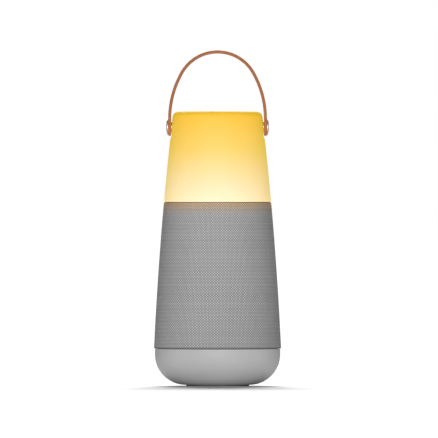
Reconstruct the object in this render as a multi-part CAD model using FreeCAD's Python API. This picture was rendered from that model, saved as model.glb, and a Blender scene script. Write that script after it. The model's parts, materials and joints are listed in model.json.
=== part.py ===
"""Portable lantern speaker: a tapered body with a lit shade over a cloth grille, a round base and a leather strap.

Millimetres, +Z up. The origin is the centre of the foot pad's underside. The front faces -Y, the keys and the
charging socket are on the rear, +Y, and the strap's two pivots lie on one line along X.
The order from the floor up is: base bowl with the battery, chassis plate and main board, lower deflector,
sealed speaker enclosure with a passive radiator below and a full-range driver above, upper deflector,
lamp tray with its light board, and the shade that the strap is pinned to.
"""

import FreeCAD
import Part
import math
import os

V = FreeCAD.Vector
X_AXIS, Y_AXIS, Z_AXIS = V(1, 0, 0), V(0, 1, 0), V(0, 0, 1)

# --- driving dimensions -------------------------------------------------------------------------------------
BODY_TOP = 215.8  # top of the shade
SEAM = 144.4  # where the cloth ends and the shade begins
RIM = 29.2  # where the base bowl ends and the cloth begins
FLANK_BOTTOM_RADIUS = 50.0  # cloth at the rim
FLANK_TOP_RADIUS = 34.8  # flank carried up to the top, before the shade's corner is rounded
FLANK_BULGE = 1.65  # how far the flank swells out from a straight cone
SHADE_CORNER = 4.8
SHADE_WALL = 2.2
CLOTH_THICKNESS = 1.0
FRAME_WALL = 2.0
SEAM_GAP = 0.3  # shadow gap between neighbouring outer pieces

BOWL_RADIUS = 49.25
BOWL_CORNER = 24.0
BOWL_FLOOR = 0.95
BOWL_WALL = 2.4

PIVOT_Z = 203.7  # strap pivots
STRAP_THICKNESS = 2.3
STRAP_WIDTH = 14.0
STRAP_HALF_SPAN = 37.6  # strap's mid-line at the pivots
STRAP_RISE = 58.9  # strap's mid-line at its top, above the pivots
STRAP_SPRING = 6.3  # height above the pivots where the strap starts to bend
STRAP_TOP_RADIUS = 32.2
POST_RADIUS = 2.5
RUNNING_GAP = 0.05
FIT_GAP = 0.1  # between faces that turn or slide on each other

KEY_RADIUS = 3.3
KEY_PITCH = 9.0
KEY_Z = 20.5
KEY_STANDS_PROUD = 0.55
KEY_TRAVEL = 0.4
KEY_REST_GAP = 0.45  # from the back of a key to the dome behind it

SCREW_RADIUS = 1.5
SCREW_HEAD_RADIUS = 2.6
SCREW_HEAD_HEIGHT = 1.8
SCREW_GAP = 0.05
GLUE_LINE = 0.02  # between a soft ring and what it is glued to


# --- geometry helpers ---------------------------------------------------------------------------------------
def circle_through_flank():
    """Centre (r, z) and radius of the big circle that the body's flank follows."""
    rise, taper = BODY_TOP - RIM, FLANK_BOTTOM_RADIUS - FLANK_TOP_RADIUS
    chord = math.hypot(rise, taper)
    radius = (chord * chord / 4 + FLANK_BULGE * FLANK_BULGE) / (2 * FLANK_BULGE)
    depth = radius - FLANK_BULGE
    mid_r, mid_z = (FLANK_BOTTOM_RADIUS + FLANK_TOP_RADIUS) / 2, (BODY_TOP + RIM) / 2
    return mid_r - depth * rise / chord, mid_z - depth * taper / chord, radius


FLANK_R, FLANK_Z, FLANK_RADIUS = circle_through_flank()


def flank(z, inset=0.0):
    """Radius of the body's flank at height z, moved inwards by inset."""
    reach = FLANK_RADIUS - inset
    return FLANK_R + math.sqrt(reach * reach - (z - FLANK_Z) ** 2)


def flank_step(z_from, z_to, inset=0.0):
    """The step of a turned profile that runs along the flank."""
    z_mid = (z_from + z_to) / 2
    return (flank(z_mid, inset), z_mid), (flank(z_to, inset), z_to)


def bowl_radius(z, inset=0.0):
    """Radius of the bowl's outer surface at height z, moved inwards by inset."""
    below = BOWL_FLOOR + BOWL_CORNER - z
    if below <= 0:
        return BOWL_RADIUS - inset
    reach = BOWL_CORNER - inset
    return BOWL_RADIUS - BOWL_CORNER + math.sqrt(reach * reach - below * below)


def turned(start, *steps):
    """A solid of revolution about Z. Each step is (r, z) for a line or ((r, z), (r, z)) for an arc by way of a point."""
    edges, here = [], start
    for step in (*steps, start):
        is_arc = isinstance(step[0], tuple)
        there = step[1] if is_arc else step
        if is_arc:
            points = [V(r, 0, z) for r, z in (here, step[0], there)]
            edges.append(Part.Arc(*points).toShape())
        elif there != here:
            edges.append(Part.LineSegment(V(here[0], 0, here[1]), V(there[0], 0, there[1])).toShape())
        here = there
    solid = Part.Face(Part.Wire(edges)).revolve(V(0, 0, 0), Z_AXIS, 360)
    if solid.Volume < 0:
        solid.reverse()
    return solid


def cylinder(radius, z_from, z_to, x=0.0, y=0.0):
    return Part.makeCylinder(radius, z_to - z_from, V(x, y, z_from))


def tube(outer, inner, z_from, z_to, x=0.0, y=0.0):
    return cylinder(outer, z_from, z_to, x, y).cut(cylinder(inner, z_from - 1, z_to + 1, x, y))


def rod(radius, start, end):
    """A round bar from one point to another."""
    along = end - start
    return Part.makeCylinder(radius, along.Length, start, along)


def block(x_size, y_size, z_from, z_to, x=0.0, y=0.0):
    """A box centred on x and y."""
    return Part.makeBox(x_size, y_size, z_to - z_from, V(x - x_size / 2, y - y_size / 2, z_from))


def on_circle(radius, count, first_deg=0.0):
    """Places (x, y) evenly spaced on a circle."""
    turns = [math.radians(first_deg + 360.0 * i / count) for i in range(count)]
    return [(radius * math.cos(a), radius * math.sin(a)) for a in turns]


def group(solids):
    return Part.makeCompound(list(solids))


def stadium(width, height, y_from, y_to, z):
    """A bar along Y with a stadium section, centred on x = 0 at height z."""
    half, radius = (width - height) / 2, height / 2
    bar = Part.makeBox(2 * half, y_to - y_from, height, V(-half, y_from, z - radius))
    ends = [Part.makeCylinder(radius, y_to - y_from, V(side * half, y_from, z), Y_AXIS) for side in (-1, 1)]
    return bar.fuse(ends).removeSplitter()


def screw(x, y, head_z, length, points_up, radius=SCREW_RADIUS):
    """A pan-head screw: head_z is the face of the head that bears on the part."""
    sign = 1 if points_up else -1
    under = head_z - sign * SCREW_HEAD_HEIGHT
    low, high = sorted((under, head_z))
    head = cylinder(SCREW_HEAD_RADIUS, low, high, x, y)
    low, high = sorted((head_z, head_z + sign * length))
    shank = cylinder(radius, low, high, x, y)
    cross_low = under if points_up else under - 1.0
    drive = block(3.0, 0.7, cross_low, cross_low + 1.0, x, y).fuse(block(0.7, 3.0, cross_low, cross_low + 1.0, x, y))
    return head.fuse(shank).cut(drive)


def lead(angle_deg, side, points, radius, bend):
    """A wire in an upright plane: points are (r, z), and corners are rounded to the bend radius."""
    turn = FreeCAD.Rotation(Z_AXIS, angle_deg)
    corners = [turn.multVec(V(r, side, z)) for r, z in points]
    edges, here = [], corners[0]
    for before, corner, after in zip(corners, corners[1:], corners[2:]):
        back, on = (before - corner).normalize(), (after - corner).normalize()
        half = back.getAngle(on) / 2
        reach = bend / math.tan(half)
        enter, leave = corner + back * reach, corner + on * reach
        middle = corner + (back + on).normalize() * (bend / math.sin(half) - bend)
        edges += [Part.LineSegment(here, enter).toShape(), Part.Arc(enter, middle, leave).toShape()]
        here = leave
    edges.append(Part.LineSegment(here, corners[-1]).toShape())
    section = Part.Wire([Part.makeCircle(radius, corners[0], corners[1] - corners[0])])
    return Part.Wire(edges).makePipeShell([section], True, False)


# --- outer casing -------------------------------------------------------------------------------------------
SHADE_BOTTOM = SEAM + SEAM_GAP
BOSS_RADIUS = 12.2
BOSS_FACE = 31.0  # inner end of the pivot bosses, from the centre plane
RECESS_FACE = 36.1  # flat that the strap's round end sweeps over
RECESS_RADIUS = 10.4
WASHER_FACE, WASHER_RADIUS = 35.2, 4.6  # floor of the well that the strap's washer lies in


def shade_body(inset):
    """The shade's form, solid, with its skin moved inwards by inset."""
    reach = FLANK_RADIUS - SHADE_CORNER
    corner_z = BODY_TOP - SHADE_CORNER
    corner_r = FLANK_R + math.sqrt(reach * reach - (corner_z - FLANK_Z) ** 2)
    radius = SHADE_CORNER - inset
    lean = math.atan2(corner_z - FLANK_Z, corner_r - FLANK_R)
    mid = (lean + math.pi / 2) / 2
    tangent = (corner_r + radius * math.cos(lean), corner_z + radius * math.sin(lean))
    middle = (corner_r + radius * math.cos(mid), corner_z + radius * math.sin(mid))
    z_mid = (SHADE_BOTTOM + tangent[1]) / 2
    return turned(
        (0, SHADE_BOTTOM),
        (flank(SHADE_BOTTOM, inset), SHADE_BOTTOM),
        ((flank(z_mid, inset), z_mid), tangent),
        (middle, (corner_r, corner_z + radius)),
        (0, corner_z + radius),
    )


SNAP_LUGS, LUG_Z, LUG_WIDTH, LUG_DEPTH = 3, 146.4, 9.0, 1.7


def snap_lug(angle_deg, grow):
    """One of the lugs inside the shade's mouth that snap into the lamp tray's ring."""
    outer = flank(LUG_Z, SHADE_WALL) + 1.0
    depth = LUG_DEPTH + 1.0 + grow
    lug = Part.makeBox(depth, LUG_WIDTH + 2 * grow, 1.8 + 2 * grow)
    lug.translate(V(outer - depth, -LUG_WIDTH / 2 - grow, LUG_Z - grow))
    lug.rotate(V(0, 0, 0), Z_AXIS, angle_deg)
    return lug


def lamp_shade():
    outer, inner = shade_body(0.0), shade_body(SHADE_WALL)
    shell = outer.cut(inner)
    for side in (-1, 1):
        boss = rod(BOSS_RADIUS, V(side * BOSS_FACE, 0, PIVOT_Z), V(side * 45, 0, PIVOT_Z))
        shell = shell.fuse(boss.common(outer))
    for side in (-1, 1):
        recess = rod(RECESS_RADIUS, V(side * RECESS_FACE, 0, PIVOT_Z), V(side * 45, 0, PIVOT_Z))
        well = rod(WASHER_RADIUS + FIT_GAP, V(side * WASHER_FACE, 0, PIVOT_Z), V(side * 45, 0, PIVOT_Z))
        bore = rod(POST_RADIUS + RUNNING_GAP, V(side * 25, 0, PIVOT_Z), V(side * 45, 0, PIVOT_Z))
        shell = shell.cut(recess).cut(well).cut(bore)
    lugs = [snap_lug(120 * i + 30, 0.0).common(outer) for i in range(SNAP_LUGS)]
    return shell.fuse(lugs).removeSplitter()


def fabric_sleeve():
    """The knitted cloth: one tapered tube whose two ends turn in over the grille frame."""
    low, high, hem = RIM + SEAM_GAP, SEAM, 2.4
    return turned(
        (flank(low), low),
        flank_step(low, high),
        (flank(high) - hem, high),
        (flank(high) - hem, high - CLOTH_THICKNESS),
        (flank(high - CLOTH_THICKNESS, CLOTH_THICKNESS), high - CLOTH_THICKNESS),
        flank_step(high - CLOTH_THICKNESS, low + CLOTH_THICKNESS, CLOTH_THICKNESS),
        (flank(low) - hem, low + CLOTH_THICKNESS),
        (flank(low) - hem, low),
    )


PORT_Z = 10.8
PORT_FACE = 41.0  # floor of the recess around the charging socket
PORT_BLOCK_BACK = 38.6
SOCKET_WIDTH, SOCKET_HEIGHT = 8.94, 3.16
PLUG_WIDTH, PLUG_HEIGHT = 13.0, 7.0  # room for the grip of a charging plug
USB_BOARD_BOTTOM = PORT_Z - SOCKET_HEIGHT / 2 - 1.2
INDICATOR_X = 22.5
BOWL_SCREW_Y = 21.6
PAD_RADIUS, PAD_RECESS = 24.8, 0.65
BOSS_TOP = 26.4


def bowl_body(inset, top=RIM):
    """The bowl's form, solid, with its skin moved inwards by inset."""
    radius, centre_z = BOWL_CORNER - inset, BOWL_FLOOR + BOWL_CORNER
    centre_r, slant = BOWL_RADIUS - BOWL_CORNER, math.sqrt(0.5)
    return turned(
        (0, BOWL_FLOOR + inset),
        (centre_r, BOWL_FLOOR + inset),
        ((centre_r + radius * slant, centre_z - radius * slant), (centre_r + radius, centre_z)),
        (centre_r + radius, top),
        (0, top),
    )


def key_places():
    return [(i - 1.5) * KEY_PITCH for i in range(4)]


def base_bowl():
    outer = bowl_body(0.0)
    bowl = outer.cut(bowl_body(BOWL_WALL, RIM + 1))
    port_block = stadium(17.4, 11.0, PORT_BLOCK_BACK, 50, PORT_Z).common(outer)
    bowl = bowl.fuse(port_block)
    for y in (-BOWL_SCREW_Y, BOWL_SCREW_Y):
        bowl = bowl.fuse(cylinder(4.0, 2.0, 6.0, 0, y)).fuse(cylinder(2.6, 5.0, BOSS_TOP, 0, y))
    for side in (-1, 1):
        bowl = bowl.fuse(cylinder(1.6, 2.0, USB_BOARD_BOTTOM, side * 5.4, 29.0))
        guide = block(3.6, 6.4, 8.0, BOSS_TOP - 0.4, side * 23.4, KEY_BOARD_Y + 0.8)
        bowl = bowl.fuse(guide.common(outer))
    bowl = bowl.cut(button_board())
    bowl = bowl.cut(cylinder(PAD_RADIUS + FIT_GAP, 0, BOWL_FLOOR + PAD_RECESS))
    for y in (-BOWL_SCREW_Y, BOWL_SCREW_Y):
        bowl = bowl.cut(cylinder(SCREW_HEAD_RADIUS + FIT_GAP, 0, 4.0, 0, y))
        bowl = bowl.cut(cylinder(SCREW_RADIUS + SCREW_GAP, 0, BOSS_TOP + 1, 0, y))
    bowl = bowl.cut(stadium(PLUG_WIDTH, PLUG_HEIGHT, PORT_FACE, 52, PORT_Z))
    bowl = bowl.cut(stadium(SOCKET_WIDTH + 0.2, SOCKET_HEIGHT + 0.2, 30, 52, PORT_Z))
    for x in key_places():
        bowl = bowl.cut(rod(KEY_RADIUS + 0.15, V(x, 30, KEY_Z), V(x, 52, KEY_Z)))
    bowl = bowl.cut(rod(1.0 + SCREW_GAP, V(INDICATOR_X, 30, KEY_Z), V(INDICATOR_X, 52, KEY_Z)))
    bowl = bowl.cut(rod(0.6, V(-INDICATOR_X, 30, KEY_Z), V(-INDICATOR_X, 52, KEY_Z)))
    return bowl


def foot_pad():
    pad = turned(
        (0, 0.5),
        (16.0, 0.5),
        (16.6, 0),
        (PAD_RADIUS - 0.5, 0),
        (PAD_RADIUS, 0.5),
        (PAD_RADIUS, BOWL_FLOOR + PAD_RECESS),
        (0, BOWL_FLOOR + PAD_RECESS),
    )
    return pad


# --- strap and its pivots -----------------------------------------------------------------------------------
def strap_arch():
    """Centres and radius of the strap's side arcs, so that they run smoothly into the top arc."""
    rise = STRAP_RISE - STRAP_SPRING
    drop = rise - STRAP_TOP_RADIUS
    side_radius = (STRAP_HALF_SPAN**2 + drop**2 - STRAP_TOP_RADIUS**2) / (2 * (STRAP_HALF_SPAN - STRAP_TOP_RADIUS))
    return side_radius, STRAP_HALF_SPAN - side_radius, drop


def carry_strap():
    side_radius, side_x, drop = strap_arch()
    spring_z, end_z = PIVOT_Z + STRAP_SPRING, PIVOT_Z - STRAP_WIDTH / 2
    top_z = spring_z + drop
    join = math.atan2(drop, -side_x)

    def edge_line(offset):
        top, side = STRAP_TOP_RADIUS + offset, side_radius + offset
        join_x, join_z = top * math.cos(join), top_z + top * math.sin(join)
        mid_x, mid_z = side_x + side * math.cos(join / 2), spring_z + side * math.sin(join / 2)
        foot_x = STRAP_HALF_SPAN + offset
        marks = [(foot_x, end_z), (foot_x, spring_z), (mid_x, mid_z), (join_x, join_z)]
        right = [V(x, 0, z) for x, z in marks]
        left = [V(-x, 0, z) for x, z in marks]
        crown = V(0, 0, top_z + top)
        edges = [
            Part.LineSegment(right[0], right[1]).toShape(),
            Part.Arc(right[1], right[2], right[3]).toShape(),
            Part.Arc(right[3], crown, left[3]).toShape(),
            Part.Arc(left[3], left[2], left[1]).toShape(),
            Part.LineSegment(left[1], left[0]).toShape(),
        ]
        return edges, right[0], left[0]

    outer, outer_right, outer_left = edge_line(STRAP_THICKNESS / 2)
    inner, inner_right, inner_left = edge_line(-STRAP_THICKNESS / 2)
    ends = [
        Part.LineSegment(outer_right, inner_right).toShape(),
        Part.LineSegment(outer_left, inner_left).toShape(),
    ]
    wire = Part.Wire(Part.__sortEdges__(outer + inner + ends))
    band = Part.Face(wire).extrude(V(0, STRAP_WIDTH, 0))
    band.translate(V(0, -STRAP_WIDTH / 2, 0))
    keep = block(100, 40, PIVOT_Z, 300)
    keep = keep.fuse(rod(STRAP_WIDTH / 2, V(-50, 0, PIVOT_Z), V(50, 0, PIVOT_Z)))
    hole = rod(POST_RADIUS + RUNNING_GAP, V(-50, 0, PIVOT_Z), V(50, 0, PIVOT_Z))
    return band.common(keep).cut(hole)


STRAP_INNER_FACE = STRAP_HALF_SPAN - STRAP_THICKNESS / 2
STRAP_OUTER_FACE = STRAP_HALF_SPAN + STRAP_THICKNESS / 2
CAP_RADIUS, CAP_HEIGHT, CAP_EDGE = 6.25, 1.5, 0.7
BACKING_WASHER = 1.0


def on_pivot(shape, side):
    """Turns a part made about Z, with its outer end up, onto the pivot line at one side."""
    shape.rotate(V(0, 0, 0), Y_AXIS, 90 * side)
    shape.translate(V(0, 0, PIVOT_Z))
    return shape


def strap_posts():
    seat = STRAP_OUTER_FACE + FIT_GAP
    crown = seat + CAP_HEIGHT
    inner_end = BOSS_FACE + SCREW_GAP
    posts = []
    for side in (-1, 1):
        post = turned(
            (0, inner_end),
            (POST_RADIUS, inner_end),
            (POST_RADIUS, seat),
            (CAP_RADIUS - 0.2, seat),
            (CAP_RADIUS, seat + 0.2),
            (CAP_RADIUS, seat + CAP_EDGE),
            ((CAP_RADIUS * 0.62, seat + CAP_HEIGHT * 0.84), (0.4, crown)),
            (0, crown),
        )
        tapped = cylinder(SCREW_RADIUS + SCREW_GAP, inner_end - 1, inner_end + 4.6)
        posts.append(on_pivot(post.cut(tapped), side))
    return group(posts)


def strap_washers():
    washers = []
    for side in (-1, 1):
        ring = tube(WASHER_RADIUS, POST_RADIUS + RUNNING_GAP, WASHER_FACE, STRAP_INNER_FACE - FIT_GAP)
        washers.append(on_pivot(ring, side))
    return group(washers)


def strap_backing_washers():
    washers = []
    for side in (-1, 1):
        ring = tube(5.0, SCREW_RADIUS + SCREW_GAP, BOSS_FACE - BACKING_WASHER, BOSS_FACE)
        washers.append(on_pivot(ring, side))
    return group(washers)


def strap_post_screws():
    screws = []
    for side in (-1, 1):
        one = screw(0, 0, BOSS_FACE - BACKING_WASHER, 5.0, True)
        screws.append(on_pivot(one, side))
    return group(screws)


# --- lamp ---------------------------------------------------------------------------------------------------
TRAY_FLOOR, TRAY_FLOOR_TOP = 138.0, 140.5
TRAY_FLANGE, TRAY_FLANGE_TOP = 141.0, 143.4
TRAY_RING_TOP = 149.0
TRAY_RING_INNER, TRAY_RING_OUTER = 37.2, 39.2
UPPER_PILLAR_PLACES = on_circle(34.4, 4, 45.0)
LAMP_PLATE_RADIUS = 31.6
LIGHT_BOARD_Z, LIGHT_BOARD_THICKNESS = 143.0, 1.6


def lamp_tray():
    tray = cylinder(38.9, TRAY_FLOOR, TRAY_FLOOR_TOP)
    tray = tray.fuse(tube(TRAY_RING_OUTER, TRAY_RING_INNER, TRAY_FLANGE, TRAY_RING_TOP))
    tray = tray.fuse(tube(38.9, TRAY_RING_INNER, TRAY_FLOOR, TRAY_FLANGE + 0.5))
    flange_radius = flank(TRAY_FLANGE_TOP, CLOTH_THICKNESS + 0.2)
    tray = tray.fuse(tube(flange_radius, TRAY_RING_INNER, TRAY_FLANGE, TRAY_FLANGE_TOP))
    for x, y in UPPER_PILLAR_PLACES:
        tray = tray.cut(cylinder(SCREW_RADIUS + SCREW_GAP, TRAY_FLOOR - 1, TRAY_FLOOR_TOP + 1, x, y))
    for i in range(SNAP_LUGS):
        tray = tray.cut(snap_lug(120 * i + 30, 0.3))
    return tray.cut(lead_passage(LAMP_LEAD_DEG, 34.0, TRAY_FLOOR - 1, TRAY_FLOOR_TOP + 1))


def shade_gasket():
    """A soft ring that seals the shade's mouth to the lamp tray."""
    return tube(41.4, TRAY_RING_OUTER + 0.1, SEAM, SHADE_BOTTOM)


def lamp_tray_screws():
    return group(screw(x, y, TRAY_FLOOR_TOP, 7.0, False) for x, y in UPPER_PILLAR_PLACES)


def heat_spreader():
    plate = cylinder(LAMP_PLATE_RADIUS, TRAY_FLOOR_TOP, LIGHT_BOARD_Z)
    return plate.cut(lead_passage(LAMP_LEAD_DEG, 30.4, TRAY_FLOOR_TOP - 1, LIGHT_BOARD_Z + 1))


def led_board():
    board = cylinder(LAMP_PLATE_RADIUS - 0.6, LIGHT_BOARD_Z, LIGHT_BOARD_Z + LIGHT_BOARD_THICKNESS)
    for x, y in on_circle(19.0, 3, 15.0):
        board = board.cut(cylinder(1.6, LIGHT_BOARD_Z - 1, LIGHT_BOARD_Z + 3, x, y))
    return board


def led_packages():
    """Twelve lamps on an outer ring and six on an inner one, each with a round lens on a square body."""
    top = LIGHT_BOARD_Z + LIGHT_BOARD_THICKNESS
    lamps = []
    for x, y in on_circle(25.5, 12) + on_circle(12.0, 6):
        body = block(5.0, 5.0, top, top + 1.1, x, y)
        lens = cylinder(1.9, top + 1.0, top + 1.5, x, y)
        lamps.append(body.fuse(lens))
    return group(lamps)


def reflector_ring():
    return turned((31.8, 145.2), (36.4, 149.6), (37.2, 149.6), (37.2, 148.6), (32.6, 144.4), (31.8, 144.4))


# --- grille frame -------------------------------------------------------------------------------------------
FRAME_BOTTOM = RIM + SEAM_GAP + CLOTH_THICKNESS + 0.1
FRAME_TOP = TRAY_FLANGE
CLOTH_GAP = 0.2
SLOT_BANDS = ((37.0, 66.0), (71.0, 100.0), (105.0, 135.0))
SLOTS_ROUND = 24


def grille_frame():
    """The slotted tube that the cloth is stretched over and that joins the base to the lamp."""
    outer, inner = CLOTH_THICKNESS + CLOTH_GAP, CLOTH_THICKNESS + CLOTH_GAP + FRAME_WALL
    frame = turned(
        (flank(FRAME_BOTTOM, outer), FRAME_BOTTOM),
        flank_step(FRAME_BOTTOM, FRAME_TOP, outer),
        (flank(FRAME_TOP, inner), FRAME_TOP),
        flank_step(FRAME_TOP, FRAME_BOTTOM, inner),
    )
    slots = []
    for low, high in SLOT_BANDS:
        width = 2 * math.pi * flank(high) / SLOTS_ROUND * 0.6
        for i in range(SLOTS_ROUND // 2):
            bar = block(120, width, low + width / 2, high - width / 2)
            ends = [rod(width / 2, V(-60, 0, z), V(60, 0, z)) for z in (low + width / 2, high - width / 2)]
            slot = bar.fuse(ends)
            slot.rotate(V(0, 0, 0), Z_AXIS, 360.0 / SLOTS_ROUND * i)
            slots.append(slot)
    return frame.cut(slots)


# --- speaker enclosure and its parts ------------------------------------------------------------------------
TUB_RADIUS, TUB_WALL = 38.5, 2.4
TUB_BOTTOM, TUB_TOP = 56.0, 103.0
LID_TOP = 106.0
LOWER_PILLAR_PLACES = on_circle(41.2, 4, 45.0)
LID_SCREW_PLACES = on_circle(33.0, 4, 0.0)
LEAD_RADIUS, LEAD_SPREAD, LEAD_BEND = 0.9, 1.3, 1.2
LEAD_ENTRY_Z = 72.0
SPEAKER_LEAD_DEG, LAMP_LEAD_DEG = 180.0, 0.0


def lead_passage(angle_deg, radius, z_from, z_to):
    """A slot for a pair of wires that run upright at one place."""
    passage = Part.makeBox(4.2, 5.6, z_to - z_from, V(radius - 2.1, -2.8, z_from))
    passage.rotate(V(0, 0, 0), Z_AXIS, angle_deg)
    return passage


def enclosure_tub():
    tub = cylinder(TUB_RADIUS, TUB_BOTTOM, TUB_TOP).fuse(cylinder(44.0, TUB_BOTTOM, TUB_BOTTOM + 2.4))
    tub = tub.cut(cylinder(TUB_RADIUS - TUB_WALL, TUB_BOTTOM + 2.4, TUB_TOP + 1))
    for x, y in LID_SCREW_PLACES:
        boss = cylinder(3.4, TUB_TOP - 12, TUB_TOP, x, y)
        tub = tub.fuse(boss).cut(cylinder(SCREW_RADIUS + SCREW_GAP, TUB_TOP - 9, TUB_TOP + 1, x, y))
    tub = tub.cut(cylinder(26.0, TUB_BOTTOM - 1, TUB_BOTTOM + 3))
    for x, y in LOWER_PILLAR_PLACES:
        tub = tub.cut(cylinder(SCREW_RADIUS + SCREW_GAP, TUB_BOTTOM - 1, TUB_BOTTOM + 3, x, y))
    for x, y in RADIATOR_SCREW_PLACES:
        tub = tub.cut(cylinder(1.0 + SCREW_GAP, TUB_BOTTOM - 1, TUB_BOTTOM + 3, x, y))
    for angle in (LAMP_LEAD_DEG, SPEAKER_LEAD_DEG):
        tub = tub.cut(lead_passage(angle, 40.8, TUB_BOTTOM - 1, TUB_BOTTOM + 3))
    for side in (-1, 1):
        way = V(-20, side * LEAD_SPREAD, LEAD_ENTRY_Z)
        tub = tub.cut(rod(LEAD_RADIUS + SCREW_GAP, V(-45, way.y, LEAD_ENTRY_Z), way))
    return tub


def enclosure_lid():
    lid = cylinder(TUB_RADIUS, TUB_TOP, LID_TOP).cut(cylinder(DRIVER_CUT_OUT, TUB_TOP - 1, LID_TOP + 1))
    for x, y in LID_SCREW_PLACES + UPPER_PILLAR_PLACES:
        lid = lid.cut(cylinder(SCREW_RADIUS + SCREW_GAP, TUB_TOP - 1, LID_TOP + 1, x, y))
    for x, y in DRIVER_SCREW_PLACES:
        lid = lid.cut(cylinder(1.0 + SCREW_GAP, TUB_TOP - 1, LID_TOP + 1, x, y))
    return lid


def enclosure_lid_screws():
    return group(screw(x, y, LID_TOP, 9.0, False) for x, y in LID_SCREW_PLACES)


DRIVER_CUT_OUT = 24.0
DRIVER_FLANGE = 30.0
DRIVER_SCREW_PLACES = on_circle(27.6, 4, 45.0)
DRIVER_FLANGE_TOP = LID_TOP + 1.2
MAGNET_TOP = 88.0
SPIDER_SEAT = 91.6
GAP_INNER, GAP_OUTER = 6.3, 7.5
COIL_INNER, FORMER_OUTER, COIL_OUTER = 6.6, 6.9, 7.1


def driver_basket():
    """The pressed steel frame: a flange, four arms and a seat for the magnet's top plate."""
    basket = turned(
        (DRIVER_FLANGE, LID_TOP),
        (DRIVER_FLANGE, DRIVER_FLANGE_TOP),
        (22.2, DRIVER_FLANGE_TOP),
        (22.2, LID_TOP - 1.0),
        (17.4, SPIDER_SEAT),
        (14.6, SPIDER_SEAT),
        (14.6, 89.2),
        (9.0, 89.2),
        (9.0, MAGNET_TOP),
        (18.8, MAGNET_TOP),
        (23.6, LID_TOP - 1.5),
        (23.6, LID_TOP),
    )
    for angle in (0, 45, 90, 135):
        window = block(60, 9.0, 93.4, 102.4)
        window.rotate(V(0, 0, 0), Z_AXIS, angle + 22.5)
        basket = basket.cut(window)
    for x, y in DRIVER_SCREW_PLACES:
        basket = basket.cut(cylinder(1.0 + SCREW_GAP, LID_TOP - 1, DRIVER_FLANGE_TOP + 1, x, y))
    return basket


def driver_top_plate():
    return tube(15.0, GAP_OUTER, MAGNET_TOP - 4.0, MAGNET_TOP)


def driver_magnet():
    return tube(17.0, 9.0, MAGNET_TOP - 12.0, MAGNET_TOP - 4.0)


def driver_yoke():
    plate = cylinder(15.0, MAGNET_TOP - 15.5, MAGNET_TOP - 12.0)
    return plate.fuse(cylinder(GAP_INNER, MAGNET_TOP - 13.0, MAGNET_TOP)).removeSplitter()


def driver_voice_coil():
    former = tube(FORMER_OUTER, COIL_INNER, 82.0, CONE_FOOT)
    return former.fuse(tube(COIL_OUTER, COIL_INNER, 82.5, 88.5)).removeSplitter()


CONE_FOOT, CONE_RIM = 94.4, DRIVER_FLANGE_TOP


def driver_cone():
    inner = COIL_INNER
    return turned(
        (inner, CONE_FOOT),
        (inner + 0.7, CONE_FOOT),
        ((14.2, 99.8), (19.4, CONE_RIM - 0.5)),
        (20.2, CONE_RIM - 0.5),
        (20.2, CONE_RIM),
        (19.0, CONE_RIM),
        ((13.6, 100.3), (inner, CONE_FOOT + 0.6)),
    )


def driver_dust_cap():
    outer, inner = ((5.0, 98.6), (8.4, 96.3)), ((4.7, 98.1), (0.5, 99.0))
    return turned((0, 99.5), (0.5, 99.5), outer, (8.0, 95.9), inner, (0, 99.0))


def half_roll(inner, outer, z, thickness, up):
    """A soft ring with a half-round roll between a glued inner and outer lip."""
    lip = 1.0
    centre, reach = (inner + outer) / 2, (outer - inner) / 2 - lip
    sign = 1 if up else -1
    under, over = z, z + sign * thickness
    small = reach - thickness
    return turned(
        (inner, under),
        (inner, over),
        (inner + lip, over),
        ((centre, over + sign * reach), (outer - lip, over)),
        (outer, over),
        (outer, under),
        (centre + small, under),
        ((centre, under + sign * small), (centre - small, under)),
    )


def driver_surround():
    return half_roll(19.2, 25.4, DRIVER_FLANGE_TOP + GLUE_LINE, 0.5, True)


def driver_spider():
    """The corrugated disc that centres the voice coil."""
    ridges, low, thick = 3, SPIDER_SEAT, 0.5
    inner, outer = FORMER_OUTER, 16.4
    step = (outer - inner - 1.0) / ridges
    lower = [(inner + 0.5 + step * i + step * f, low + lift) for i in range(ridges) for f, lift in ((0, 0), (0.5, 0.9))]
    lower.append((outer - 0.5, low))
    upper = [(r, z + thick) for r, z in reversed(lower)]
    return turned((inner, low), *lower, (outer, low), (outer, low + thick), *upper, (inner, low + thick))


def driver_screws():
    return group(small_screw(x, y, DRIVER_FLANGE_TOP, 4.0, False) for x, y in DRIVER_SCREW_PLACES)


def small_screw(x, y, head_z, length, points_up):
    """A 2 mm self-tapping screw."""
    sign = 1 if points_up else -1
    low, high = sorted((head_z, head_z - sign * 1.2))
    head = cylinder(1.9, low, high, x, y)
    low, high = sorted((head_z, head_z + sign * length))
    return head.fuse(cylinder(1.0, low, high, x, y))


RADIATOR_SCREW_PLACES = on_circle(32.0, 4, 45.0)
RADIATOR_FRAME_BOTTOM = 53.6


def radiator_frame():
    frame = tube(34.4, 27.0, RADIATOR_FRAME_BOTTOM, TUB_BOTTOM)
    for x, y in RADIATOR_SCREW_PLACES:
        frame = frame.cut(cylinder(1.0 + SCREW_GAP, RADIATOR_FRAME_BOTTOM - 1, TUB_BOTTOM + 1, x, y))
    return frame


RADIATOR_LIP = 19.0  # inner radius of the soft ring, which is moulded to the plate's edge


def radiator_surround():
    return half_roll(RADIATOR_LIP, 29.4, RADIATOR_FRAME_BOTTOM - GLUE_LINE, 0.8, False)


def radiator_plate():
    return cylinder(RADIATOR_LIP - GLUE_LINE, RADIATOR_FRAME_BOTTOM - 0.9, RADIATOR_FRAME_BOTTOM + 1.6)


def radiator_weight():
    return cylinder(11.0, RADIATOR_FRAME_BOTTOM + 1.6, RADIATOR_FRAME_BOTTOM + 4.6)


def radiator_screws():
    return group(small_screw(x, y, RADIATOR_FRAME_BOTTOM, 4.4, True) for x, y in RADIATOR_SCREW_PLACES)


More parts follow.
